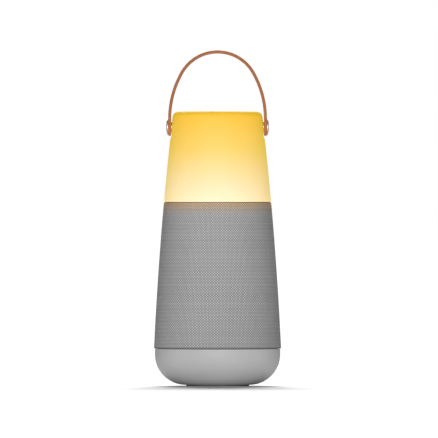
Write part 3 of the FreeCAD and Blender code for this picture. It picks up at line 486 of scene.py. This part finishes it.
def lamp_lens(name):
    """White lamp packages with warm phosphor."""
    paint = Paint(name, Roughness=0.3, Emission_Strength=1.0)
    place = paint.place()
    height = paint.parts(place)[2]
    phosphor = height.between(PHOSPHOR_START, PHOSPHOR_FULL)
    cloudy = paint.noise(place, 1400.0, 2.0)
    glow = paint.mix(cloudy * 0.4, (1.0, 0.72, 0.25), (1.0, 0.86, 0.50))
    paint.set(
        Base_Color=paint.mix(phosphor, (0.85, 0.85, 0.82), (0.95, 0.70, 0.20)),
        Emission_Color=paint.mix(phosphor, (0.10, 0.08, 0.04), glow),
    )
    return paint.bump(cloudy, 0.02 * MM, 0.4).material


def printed_white(name):
    """Tough printed ink for the signs on the keys."""
    paint = Paint(name)
    place = paint.place()
    wear = paint.noise(place, 1500.0, 3.0, 0.6)
    paint.set(
        Base_Color=paint.mix(wear.between(0.45, 0.80) * 0.4, (0.90, 0.90, 0.89), (0.66, 0.66, 0.66)),
        Roughness=0.40 + 0.2 * wear,
    )
    return paint.bump(wear, 0.01 * MM, 0.5).material


def sewing_thread(colour):
    """Thread twisted from two strands, for the cloth's seam."""
    paint = Paint("sewing_thread", Specular_IOR_Level=0.1)
    place = paint.place()
    x, _, z = paint.parts(place)
    twist = ripple(x + z, 0.45 * MM) * 0.5 + 0.5
    lint = paint.noise(place, 1800.0, 3.0)
    # painted shade: the colour darkens in the grooves between the two strands
    paint.set(Base_Color=paint.mix(twist, shaded(colour, 0.6), colour), Roughness=0.65 + 0.2 * lint)
    return paint.bump(twist + 0.3 * lint, 0.05 * MM, 0.8).material


def finishes(colours):
    """A finish for each material slot of the record."""
    base = tuple(colours.base)
    rivet = tuple(colours.rivet)
    return {
        "lit_acrylic": lit_acrylic(colours),
        "woven_cloth": woven_cloth(colours),
        "base_plastic": satin_plastic("base_plastic", base, 0.50, 0.35),
        "key_plastic": satin_plastic("key_plastic", shaded(base, 0.80), 0.42),
        "foot_rubber": matte_rubber("foot_rubber", (0.055, 0.055, 0.058)),
        "tan_leather": oiled_leather(colours),
        "pivot_metal": turned_metal("pivot_metal", rivet, 0.38, (0.05, 1.0, 1.0), 0.75),
        "screw_steel": turned_metal("screw_steel", (0.50, 0.50, 0.51), 0.30),
        "black_plastic": satin_plastic("black_plastic", (0.022, 0.022, 0.024), 0.50, 0.8),
        "white_plastic": satin_plastic("white_plastic", (0.78, 0.78, 0.75), 0.40),
        "gasket_rubber": matte_rubber("gasket_rubber", (0.09, 0.09, 0.09)),
        "spreader_aluminium": turned_metal("spreader_aluminium", (0.75, 0.76, 0.77), 0.35, (1.0, 0.04, 1.0)),
        "light_board_white": circuit_board("light_board_white", (0.80, 0.80, 0.77)),
        "lamp_package": lamp_lens("lamp_package"),
        "circuit_board": circuit_board("circuit_board", (0.010, 0.075, 0.030)),
        "chip_black": satin_plastic("chip_black", (0.018, 0.018, 0.019), 0.55, 0.9),
        "cell_wrap": shrink_wrap("cell_wrap", (0.020, 0.070, 0.260)),
        "magnet_ferrite": turned_metal("magnet_ferrite", (0.035, 0.035, 0.037), 0.60, metallic=0.2),
        "plated_steel": turned_metal("plated_steel", (0.55, 0.56, 0.58), 0.28, (1.0, 1.0, 0.05)),
        "cone_paper": pressed_pulp("cone_paper", (0.030, 0.030, 0.032)),
        "coil_copper": wound_wire("coil_copper", (0.75, 0.33, 0.15)),
        "surround_rubber": matte_rubber("surround_rubber", (0.018, 0.018, 0.018)),
        "spider_cloth": pressed_pulp("spider_cloth", (0.42, 0.26, 0.07)),
        "silicone_grey": matte_rubber("silicone_grey", (0.30, 0.30, 0.31)),
        "clear_pipe": satin_plastic("clear_pipe", (0.82, 0.85, 0.86), 0.15, 0.1),
        "socket_steel": turned_metal("socket_steel", (0.55, 0.55, 0.57), 0.25, (1.0, 0.05, 1.0)),
        "wire_sheath": shrink_wrap("wire_sheath", (0.30, 0.012, 0.010)),
    }


# --- modelling helpers ----------------------------------------------------------------------------
def select_nothing():
    bpy.ops.object.select_all(action="DESELECT")


def began(name):
    """Names the primitive that was just added and opens it for editing, all selected."""
    piece = bpy.context.object
    piece.name = piece.data.name = name
    bpy.ops.object.mode_set(mode="EDIT")
    bpy.ops.mesh.select_all(action="SELECT")
    return piece


def ended(piece, smooth_angle=40.0):
    """Closes the edit: doubles merged, faces outwards, place applied to the mesh."""
    bpy.ops.object.mode_set(mode="EDIT")
    bpy.ops.mesh.select_all(action="SELECT")
    bpy.ops.mesh.remove_doubles(threshold=MERGE_DISTANCE)
    bpy.ops.mesh.normals_make_consistent(inside=False)
    bpy.ops.object.mode_set(mode="OBJECT")
    bpy.ops.object.transform_apply(location=True, rotation=True, scale=True)
    bpy.ops.object.shade_smooth_by_angle(angle=math.radians(smooth_angle))
    return piece


def unselect(piece):
    for item in (*piece.data.vertices, *piece.data.edges, *piece.data.polygons):
        item.select = False


def delete_faces(piece, unwanted):
    """Deletes the faces that the rule picks out and leaves the piece in edit mode."""
    bpy.ops.object.mode_set(mode="OBJECT")
    unselect(piece)
    for face in piece.data.polygons:
        face.select = unwanted(face)
    bpy.ops.object.mode_set(mode="EDIT")
    bpy.ops.mesh.select_mode(type="FACE")
    bpy.ops.mesh.delete(type="FACE")
    bpy.ops.mesh.select_mode(type="VERT")


def add_modifier(piece, kind, **settings):
    bpy.context.view_layer.objects.active = piece
    modifier = piece.modifiers.new(kind.lower(), kind)
    for name, value in settings.items():
        setattr(modifier, name, value)
    bpy.ops.object.modifier_apply(modifier=modifier.name)


def extrude_ring(radius, new_radius, lift):
    """Extrudes the selected ring upwards and resizes it about Z."""
    bpy.ops.mesh.extrude_edges_move(TRANSFORM_OT_translate={"value": (0, 0, lift)})
    share = new_radius / radius
    bpy.ops.transform.resize(value=(share, share, 1), center_override=(0, 0, 0))


def turn_profile(name, profile, segments):
    """A turned skin: one ring drawn from point to point of a (radius, height) profile."""
    select_nothing()
    radius, height = profile[0]
    bpy.ops.mesh.primitive_circle_add(vertices=segments, radius=radius, location=(0, 0, height))
    piece = began(name)
    for (radius, height), (new_radius, new_height) in zip(profile, profile[1:]):
        extrude_ring(radius, new_radius, new_height - height)
    return piece


def round_edges(piece, width, sharper_than):
    """Rounds the edges that turn by more than an angle in radians."""
    add_modifier(
        piece, "BEVEL", width=width, segments=3, limit_method="ANGLE", angle_limit=sharper_than
    )


def move_points(piece, rule):
    """Puts every point where the rule says."""
    for vertex in piece.data.vertices:
        vertex.co = rule(vertex.co)
    piece.data.update()


def dress(piece, body, material):
    """Gives a new piece its finish and the body it rides on."""
    piece.data.materials.clear()
    piece.data.materials.append(material)
    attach(piece, body)
    return piece


def joined(name, pieces):
    select_nothing()
    for piece in pieces:
        piece.select_set(True)
    bpy.context.view_layer.objects.active = pieces[0]
    if len(pieces) > 1:
        bpy.ops.object.join()
    pieces[0].name = pieces[0].data.name = name
    return pieces[0]


def copied(piece, matrix):
    twin = piece.copy()
    twin.data = piece.data.copy()
    twin.data.transform(matrix)
    bpy.context.scene.collection.objects.link(twin)
    return twin


# --- cloth ----------------------------------------------------------------------------------------
CLOTH_LAYER = 0.75 * MM
HEM_DEPTH = 2.1 * MM  # how far the turned hem reaches inwards
CLOTH_GAP_LOW, CLOTH_GAP_HIGH = 0.03 * MM, 0.05 * MM  # from the ends of the sleeve that it replaces
CLOTH_ROWS, CLOTH_COLUMNS = 44, 192

SEAM_WIDTH, SEAM_THICKNESS, SEAM_END = 1.5 * MM, 0.5 * MM, 1.6 * MM
SEAM_ROWS = 40
STITCH_COUNT, STITCH_LEAN_DEG = 42, 24.0
STITCH_SIZE = (1.25 * MM, 0.26 * MM, 0.30 * MM)  # half its length, depth and height
STITCH_LIFT, STITCH_END = 0.22 * MM, 1.2 * MM


def cloth_profile(roll):
    """Up the outside, over the top hem, down the inside and round the bottom hem, back to the start."""
    low, high = SLEEVE_LOW[2] + CLOTH_GAP_LOW, SLEEVE_HIGH[2] - CLOTH_GAP_HIGH
    quarter = [math.radians(a) for a in (15, 35, 55, 75, 90)]
    start, finish = low + roll, high - roll
    heights = [start + (finish - start) * i / CLOTH_ROWS for i in range(CLOTH_ROWS + 1)]
    outside = [(flank(height), height) for height in heights]
    top = [(flank(finish) - roll * (1 - math.cos(a)), finish + roll * math.sin(a)) for a in quarter]
    lip_top = [(flank(finish) - HEM_DEPTH, high), (flank(finish) - HEM_DEPTH, high - CLOTH_LAYER)]
    inside = [(radius - CLOTH_LAYER, height) for radius, height in reversed(outside[1:-1:2])]
    lip_low = [(flank(start) - HEM_DEPTH, low + CLOTH_LAYER), (flank(start) - HEM_DEPTH, low)]
    bottom = [
        (flank(start) - roll * (1 - math.cos(a)), start - roll * math.sin(a)) for a in reversed(quarter)
    ]
    return [*outside, *top, *lip_top, *inside, *lip_low, *bottom, outside[0]]


def weave_map(piece, yarns_around, yarn_pitch):
    """UVs counted in yarns: round the sleeve and up it."""
    mesh = piece.data
    layer = mesh.uv_layers.new(name="weave")
    for face in mesh.polygons:
        middle = math.atan2(face.center.y, face.center.x)
        for loop in face.loop_indices:
            point = mesh.vertices[mesh.loops[loop].vertex_index].co
            turn = math.atan2(point.y, point.x)
            turn += 2 * math.pi * round((middle - turn) / (2 * math.pi))
            layer.data[loop].uv = (turn / (2 * math.pi) * yarns_around, point.z / yarn_pitch)


def cloth_area(profile):
    """Area of one layer of the cloth, hems included."""
    bands = (math.pi * (a[0] + b[0]) * math.dist(a, b) for a, b in zip(profile, profile[1:]))
    return sum(bands) / 2


def make_cloth(sizes):
    profile = cloth_profile(sizes.hem_roll)
    cloth = ended(turn_profile("sleeve_cloth", profile, CLOTH_COLUMNS), 60.0)
    weave_map(cloth, sizes.yarns_around, sizes.yarn_pitch)
    dress(cloth, "housing", PAINTS["woven_cloth"])
    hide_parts("fabric_sleeve")
    return cloth, cloth_area(profile)


def make_welt():
    """A low rounded ridge down the back, drawn out from a small plane and laid on the flank."""
    low, high = SLEEVE_LOW[2] + SEAM_END, SLEEVE_HIGH[2] - SEAM_END
    select_nothing()
    bpy.ops.mesh.primitive_plane_add(size=1.0, location=(0, 0, 0))
    welt = began("sleeve_seam")
    bpy.ops.transform.resize(value=(SEAM_WIDTH, SEAM_THICKNESS, 1), center_override=(0, 0, 0))
    for _ in range(SEAM_ROWS):
        bpy.ops.mesh.extrude_region_move(TRANSFORM_OT_translate={"value": (0, 0, 1 / SEAM_ROWS)})
    ended(welt)
    round_edges(welt, 0.2 * MM, math.radians(40))

    def on_flank(point):
        height = low + (high - low) * point.z
        return Vector((point.x, flank(height) + point.y, height))

    move_points(welt, on_flank)
    return welt


def make_stitches():
    """A row of slanting stitches over the welt."""
    low = SLEEVE_LOW[2] + SEAM_END + STITCH_END
    high = SLEEVE_HIGH[2] - SEAM_END - STITCH_END
    select_nothing()
    bpy.ops.mesh.primitive_uv_sphere_add(segments=8, ring_count=6, radius=1.0, location=(0, 0, 0))
    stitch = began("stitch")
    bpy.ops.transform.resize(value=STITCH_SIZE, center_override=(0, 0, 0))
    ended(stitch)
    slant = Matrix.Rotation(math.radians(STITCH_LEAN_DEG), 4, "Y")
    stitches = []
    for i in range(STITCH_COUNT):
        height = low + (high - low) * i / (STITCH_COUNT - 1)
        place = Matrix.Translation((0, flank(height) + STITCH_LIFT, height))
        stitches.append(copied(stitch, place @ slant))
    bpy.data.objects.remove(stitch)
    return joined("sleeve_stitches", stitches)


def make_seam(sizes, thread_finish):
    """The cloth's closing seam down the back: a welt and the stitches over it."""
    seam = ((make_welt(), PAINTS["woven_cloth"]), (make_stitches(), thread_finish))
    for piece, finish in seam:
        weave_map(piece, sizes.yarns_around, sizes.yarn_pitch)
        dress(piece, "housing", finish)
    return [piece for piece, _ in seam]


# --- strap ----------------------------------------------------------------------------------------
STRAP_SIDE_X = 37.6 * MM  # the strap's middle at its pivots
STRAP_STRAIGHT = 6.3 * MM  # from a pivot to where the strap starts to bend
STRAP_RISE = 58.9 * MM  # from the pivots to the top of the arch
STRAP_CROWN_RADIUS = 32.2 * MM  # of the arch's top
STRAP_HOLE = 2.75 * MM
STRAP_RINGS = (3.4 * MM, 4.6 * MM, 5.8 * MM)  # between the hole and the round end
STRAP_ROWS = 42
STRAP_CROWN = 0.10 * MM  # swell of the outer face


def strap_line(along):
    """Place, and direction outwards, of the strap's middle at a distance from its pivot."""
    rise = STRAP_RISE - STRAP_STRAIGHT
    drop = rise - STRAP_CROWN_RADIUS
    side_radius = (STRAP_SIDE_X**2 + drop**2 - STRAP_CROWN_RADIUS**2) / 2
    side_radius /= STRAP_SIDE_X - STRAP_CROWN_RADIUS
    side_x = STRAP_SIDE_X - side_radius
    spring = PIVOT_HEIGHT + STRAP_STRAIGHT
    join = math.atan2(drop, -side_x)
    if along <= STRAP_STRAIGHT:
        return Vector((STRAP_SIDE_X, 0, PIVOT_HEIGHT + along)), Vector((1, 0, 0))
    turn = (along - STRAP_STRAIGHT) / side_radius
    if turn <= join:
        out = Vector((math.cos(turn), 0, math.sin(turn)))
        return Vector((side_x, 0, spring)) + out * side_radius, out
    turn = join + (along - STRAP_STRAIGHT - side_radius * join) / STRAP_CROWN_RADIUS
    out = Vector((math.cos(turn), 0, math.sin(turn)))
    return Vector((0, 0, spring + drop)) + out * STRAP_CROWN_RADIUS, out


def strap_half_length():
    """From a pivot to the top of the arch, along the strap's middle."""
    low, high = STRAP_STRAIGHT, 0.2
    for _ in range(60):
        middle = (low + high) / 2
        if strap_line(middle)[0].x > 0:
            low = middle
        else:
            high = middle
    return low


def cut_strap(half_width, length):
    """One half of the strap, flat: rings round its hole, and its inner edge drawn out to the length."""
    select_nothing()
    bpy.ops.mesh.primitive_circle_add(vertices=48, radius=STRAP_HOLE, location=(0, 0, 0))
    strap = began("strap_leather")
    radius = STRAP_HOLE
    for new_radius in (*STRAP_RINGS, half_width):
        extrude_ring(radius, new_radius, 0)
        radius = new_radius
    bpy.ops.object.mode_set(mode="OBJECT")
    rim = [v for v in strap.data.vertices if v.select and v.co.x > MERGE_DISTANCE]
    rim.sort(key=lambda v: v.co.y)
    for i, vertex in enumerate(rim):
        vertex.co = Vector((half_width, half_width * (2 * i / (len(rim) - 1) - 1), 0))
    unselect(strap)
    chosen = {v.index for v in rim}
    for edge in strap.data.edges:
        edge.select = set(edge.vertices) <= chosen
    for vertex in rim:
        vertex.select = True
    bpy.ops.object.mode_set(mode="EDIT")
    bpy.ops.mesh.select_mode(type="EDGE")
    step = (length - half_width) / STRAP_ROWS
    for _ in range(STRAP_ROWS):
        bpy.ops.mesh.extrude_edges_move(TRANSFORM_OT_translate={"value": (step, 0, 0)})
    bpy.ops.mesh.select_mode(type="VERT")
    return ended(strap)


def map_strap(strap, thickness):
    """UVs in metres along and across the flat leather, and each point's place through its plies."""
    mesh = strap.data
    layer = mesh.uv_layers.new(name="strap")
    for loop in mesh.loops:
        point = mesh.vertices[loop.vertex_index].co
        layer.data[loop.index].uv = (point.x, point.y)
    ply = mesh.attributes.new("ply", "FLOAT", "POINT")
    for vertex in mesh.vertices:
        ply.data[vertex.index].value = vertex.co.z / thickness


def make_strap(sizes):
    """One half is cut flat, thickened, rounded at its edges, bent to the arch and mirrored."""
    half_width, length = sizes.strap_width / 2, strap_half_length()
    strap = cut_strap(half_width, length)
    add_modifier(strap, "SOLIDIFY", thickness=sizes.strap_thickness, offset=0.0, use_even_offset=True)
    far_end = length - MERGE_DISTANCE
    points = strap.data.vertices
    delete_faces(strap, lambda face: all(points[i].co.x > far_end for i in face.vertices))
    bpy.ops.object.mode_set(mode="OBJECT")
    round_edges(strap, sizes.strap_edge, math.radians(50))
    map_strap(strap, sizes.strap_thickness)

    def bent(point):
        place, out = strap_line(min(point.x, length))
        crown = STRAP_CROWN * (1 - (point.y / half_width) ** 2) * (1 if point.z > 0 else 0)
        return place + out * (point.z + crown) + Vector((0, point.y, 0))

    move_points(strap, bent)
    mirror = {"use_axis": (True, False, False), "use_mirror_merge": True}
    add_modifier(strap, "MIRROR", merge_threshold=0.05 * MM, **mirror)
    ended(strap, 50.0)
    dress(strap, "strap", PAINTS["tan_leather"])
    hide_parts("carry_strap")


# --- signs on the keys ----------------------------------------------------------------------------
SIGN_LINE = 0.42 * MM  # width of a drawn line
SIGN_ROOT = 0.25 * MM  # how deep a sign is sunk into its key


def bar(width, height, thick, x=0.0, y=0.0, turn=0.0):
    """A bar with rounded ends, flat on the XY plane."""
    select_nothing()
    bpy.ops.mesh.primitive_cube_add(size=1.0, location=(0, 0, 0))
    piece = began("bar")
    bpy.ops.transform.resize(value=(width, height, thick), center_override=(0, 0, 0))
    ended(piece)
    round_edges(piece, min(width, height) * 0.45, 1.0)
    piece.data.transform(Matrix.Translation((x, y, 0)) @ Matrix.Rotation(turn, 4, "Z"))
    return piece


def arc(radius, thick, gap_deg=0.0):
    """A flat ring, open at the top by a gap."""
    inner, outer = radius - SIGN_LINE / 2, radius + SIGN_LINE / 2
    select_nothing()
    bpy.ops.mesh.primitive_circle_add(vertices=48, radius=inner, location=(0, 0, -thick / 2))
    piece = began("arc")
    extrude_ring(inner, outer, 0)
    half_gap = math.radians(gap_deg / 2)
    delete_faces(piece, lambda face: abs(math.atan2(face.center.x, face.center.y)) < half_gap)
    bpy.ops.mesh.select_all(action="SELECT")
    bpy.ops.mesh.extrude_region_move(TRANSFORM_OT_translate={"value": (0, 0, thick)})
    return ended(piece)


def sign(kind, thick):
    """Pieces of the generic sign on a key, flat on the XY plane with +Y up."""
    if kind == "power":
        return [arc(1.25 * MM, thick, 70.0), bar(SIGN_LINE, 1.35 * MM, thick, 0, 0.95 * MM)]
    if kind == "lamp":
        reach, turns = 1.45 * MM, [math.radians(45 * i) for i in range(8)]
        rays = [
            bar(0.55 * MM, 0.32 * MM, thick, reach * math.cos(turn), reach * math.sin(turn), turn)
            for turn in turns
        ]
        return [arc(0.75 * MM, thick), *rays]
    level = bar(2.6 * MM, SIGN_LINE, thick)
    if kind == "minus":
        return [level]
    return [level, *(bar(SIGN_LINE, 1.1 * MM, thick, 0, side * 0.75 * MM) for side in (-1, 1))]


def key_face(x, height, stands):
    """Matrix that lays a flat sign on the bowl's curved rear, standing off its skin."""
    below = BOWL_CORNER_HEIGHT - height
    lean = math.asin(below / BOWL_CORNER_RADIUS)
    radius = BOWL_CORNER_REACH + BOWL_CORNER_RADIUS * math.cos(lean)
    around = math.asin(x / radius)
    out = Vector((math.sin(around) * math.cos(lean), math.cos(around) * math.cos(lean), -math.sin(lean)))
    side = Vector((0, 0, 1)).cross(out).normalized()
    up = out.cross(side)
    place = Vector((x, radius * math.cos(around), height)) + out * stands
    turn = Matrix((side, up, out)).transposed().to_4x4()
    return Matrix.Translation(place) @ turn


def make_key_signs(sizes, material):
    thick = sizes.icon_height + SIGN_ROOT
    stands = KEY_STANDS_PROUD + sizes.icon_height - thick / 2
    for node, (body, kind) in KEYS.items():
        low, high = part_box(node)
        piece = joined(f"{node}_sign", sign(kind, thick))
        piece.data.transform(key_face((low[0] + high[0]) / 2, (low[2] + high[2]) / 2, stands))
        dress(piece, body, material)


# --- stage ----------------------------------------------------------------------------------------
FLOOR_RADIUS = 60.0
FLOOR_WHITE = (0.86, 0.86, 0.86, 1.0)
AMBIENT = 0.07  # strength of the surroundings on the speaker
VIEW_WIDTH = 344.3 * MM  # width that the camera takes in at the speaker
VIEW_CENTRE = (1.14 * MM, 131.3 * MM)


def make_floor():
    select_nothing()
    bpy.ops.mesh.primitive_circle_add(
        vertices=96, radius=FLOOR_RADIUS, fill_type="NGON", location=(0, 0, 0)
    )
    floor = bpy.context.object
    floor.name = "floor"
    paint = Paint("floor_white", Base_Color=FLOOR_WHITE, Roughness=0.9, Specular_IOR_Level=0.0)
    floor.data.materials.append(paint.material)


def make_world():
    """White to the camera, dim to the speaker, so that the lamps shape it."""
    world = bpy.data.worlds.new("studio")
    bpy.context.scene.world = world
    world.use_nodes = True
    nodes, links = world.node_tree.nodes, world.node_tree.links
    nodes.clear()
    seen = nodes.new("ShaderNodeBackground")
    seen.inputs["Color"].default_value = (1, 1, 1, 1)
    lighting = nodes.new("ShaderNodeBackground")
    lighting.inputs["Color"].default_value = (1, 1, 1, 1)
    lighting.inputs["Strength"].default_value = AMBIENT
    path = nodes.new("ShaderNodeLightPath")
    mix = nodes.new("ShaderNodeMixShader")
    output = nodes.new("ShaderNodeOutputWorld")
    links.new(path.outputs["Is Camera Ray"], mix.inputs[0])
    links.new(lighting.outputs[0], mix.inputs[1])
    links.new(seen.outputs[0], mix.inputs[2])
    links.new(mix.outputs[0], output.inputs[0])


def put_lamp(lamp, place, direction):
    """Puts a lamp on the stage, shining in a direction."""
    holder = bpy.data.objects.new(lamp.name, lamp)
    holder.location = place
    holder.rotation_euler = Vector(direction).to_track_quat("-Z", "Y").to_euler()
    bpy.context.scene.collection.objects.link(holder)


def key_lamp(place, target, size, watts):
    """A broad low softbox in front of the speaker."""
    lamp = bpy.data.lights.new("key_lamp", "AREA")
    lamp.shape, lamp.size, lamp.size_y = "RECTANGLE", *size
    lamp.energy = watts
    put_lamp(lamp, place, Vector(target) - Vector(place))


def back_sun(elevation_deg, strength, spread_deg):
    """A wide soft sun behind the speaker."""
    lamp = bpy.data.lights.new("back_sun", "SUN")
    lamp.energy, lamp.angle = strength, math.radians(spread_deg)
    lift = math.radians(elevation_deg)
    put_lamp(lamp, (0, 0, 0), (0, -math.cos(lift), -math.sin(lift)))


def make_camera(distance):
    camera = bpy.data.cameras.new("camera")
    camera.sensor_width = 36.0
    camera.lens = camera.sensor_width * distance / VIEW_WIDTH
    camera.clip_start, camera.clip_end = 0.1, 100.0
    holder = bpy.data.objects.new("camera", camera)
    holder.location = (VIEW_CENTRE[0], -distance, VIEW_CENTRE[1])
    holder.rotation_euler = (math.radians(90), 0, 0)
    bpy.context.scene.collection.objects.link(holder)
    bpy.context.scene.camera = holder


# --- operators ------------------------------------------------------------------------------------
class SPEAKER_OT_stage(bpy.types.Operator):
    """Camera, floor, white surroundings and lamps"""

    bl_idname = "speaker.stage"
    bl_label = "Stage"

    def execute(self, context):
        make_camera(context.scene.speaker_sizes.camera_distance)
        make_floor()
        make_world()
        key_lamp(place=(-0.10, -2.2, 0.16), target=(0, 0, 0.13), size=(1.0, 0.26), watts=66.0)
        back_sun(elevation_deg=39.5, strength=5.9, spread_deg=36.5)
        context.scene.view_settings.view_transform = "Standard"
        context.scene.view_settings.look = "None"
        return {"FINISHED"}


class SPEAKER_OT_finishes(bpy.types.Operator):
    """Gives every frame node the finish of its material slot"""

    bl_idname = "speaker.finishes"
    bl_label = "Finishes"

    def execute(self, context):
        PAINTS.update(finishes(context.scene.speaker_colours))
        for part in frame["record"]["subparts"]:
            node = frame["nodes"][part["node"]]
            node.data.materials.clear()
            node.data.materials.append(PAINTS[part["material_slot"]])
        return {"FINISHED"}


class SPEAKER_OT_cloth(bpy.types.Operator):
    """Stretches the woven sleeve over the grille and closes it with its seam"""

    bl_idname = "speaker.cloth"
    bl_label = "Cloth sleeve"

    def execute(self, context):
        sizes, colours = context.scene.speaker_sizes, context.scene.speaker_colours
        cloth, area = make_cloth(sizes)
        seam = make_seam(sizes, sewing_thread(shaded(colours.yarn_dark, 0.4)))
        return {"FINISHED"}


class SPEAKER_OT_strap(bpy.types.Operator):
    """Cuts and bends the leather carry strap"""

    bl_idname = "speaker.strap"
    bl_label = "Leather strap"

    def execute(self, context):
        make_strap(context.scene.speaker_sizes)
        return {"FINISHED"}


class SPEAKER_OT_signs(bpy.types.Operator):
    """Raises the plus, minus, lamp and power signs on the keys"""

    bl_idname = "speaker.signs"
    bl_label = "Key signs"

    def execute(self, context):
        make_key_signs(context.scene.speaker_sizes, printed_white("sign_ink"))
        return {"FINISHED"}


class SPEAKER_PT_panel(bpy.types.Panel):
    """Lists the speaker's operators and settings"""

    bl_idname = "SPEAKER_PT_panel"
    bl_label = "Lantern speaker"
    bl_space_type = "VIEW_3D"
    bl_region_type = "UI"
    bl_category = "Speaker"

    def draw(self, context):
        for settings in (context.scene.speaker_sizes, context.scene.speaker_colours):
            box = self.layout.box()
            for name in settings.__annotations__:
                box.prop(settings, name)
        for operator in OPERATORS:
            self.layout.operator(operator.bl_idname)


OPERATORS = (SPEAKER_OT_stage, SPEAKER_OT_finishes, SPEAKER_OT_cloth, SPEAKER_OT_strap, SPEAKER_OT_signs)
CLASSES = (SpeakerSizes, SpeakerColours, *OPERATORS, SPEAKER_PT_panel)


def register():
    for item in CLASSES:
        bpy.utils.register_class(item)
    bpy.types.Scene.speaker_sizes = bpy.props.PointerProperty(type=SpeakerSizes)
    bpy.types.Scene.speaker_colours = bpy.props.PointerProperty(type=SpeakerColours)


def unregister():
    del bpy.types.Scene.speaker_colours
    del bpy.types.Scene.speaker_sizes
    for item in reversed(CLASSES):
        bpy.utils.unregister_class(item)


def main():
    register()
    bpy.ops.speaker.stage()
    bpy.ops.speaker.finishes()
    bpy.ops.speaker.cloth()
    bpy.ops.speaker.strap()
    bpy.ops.speaker.signs()
    bpy.context.view_layer.update()


if __name__ == "__main__":
    main()
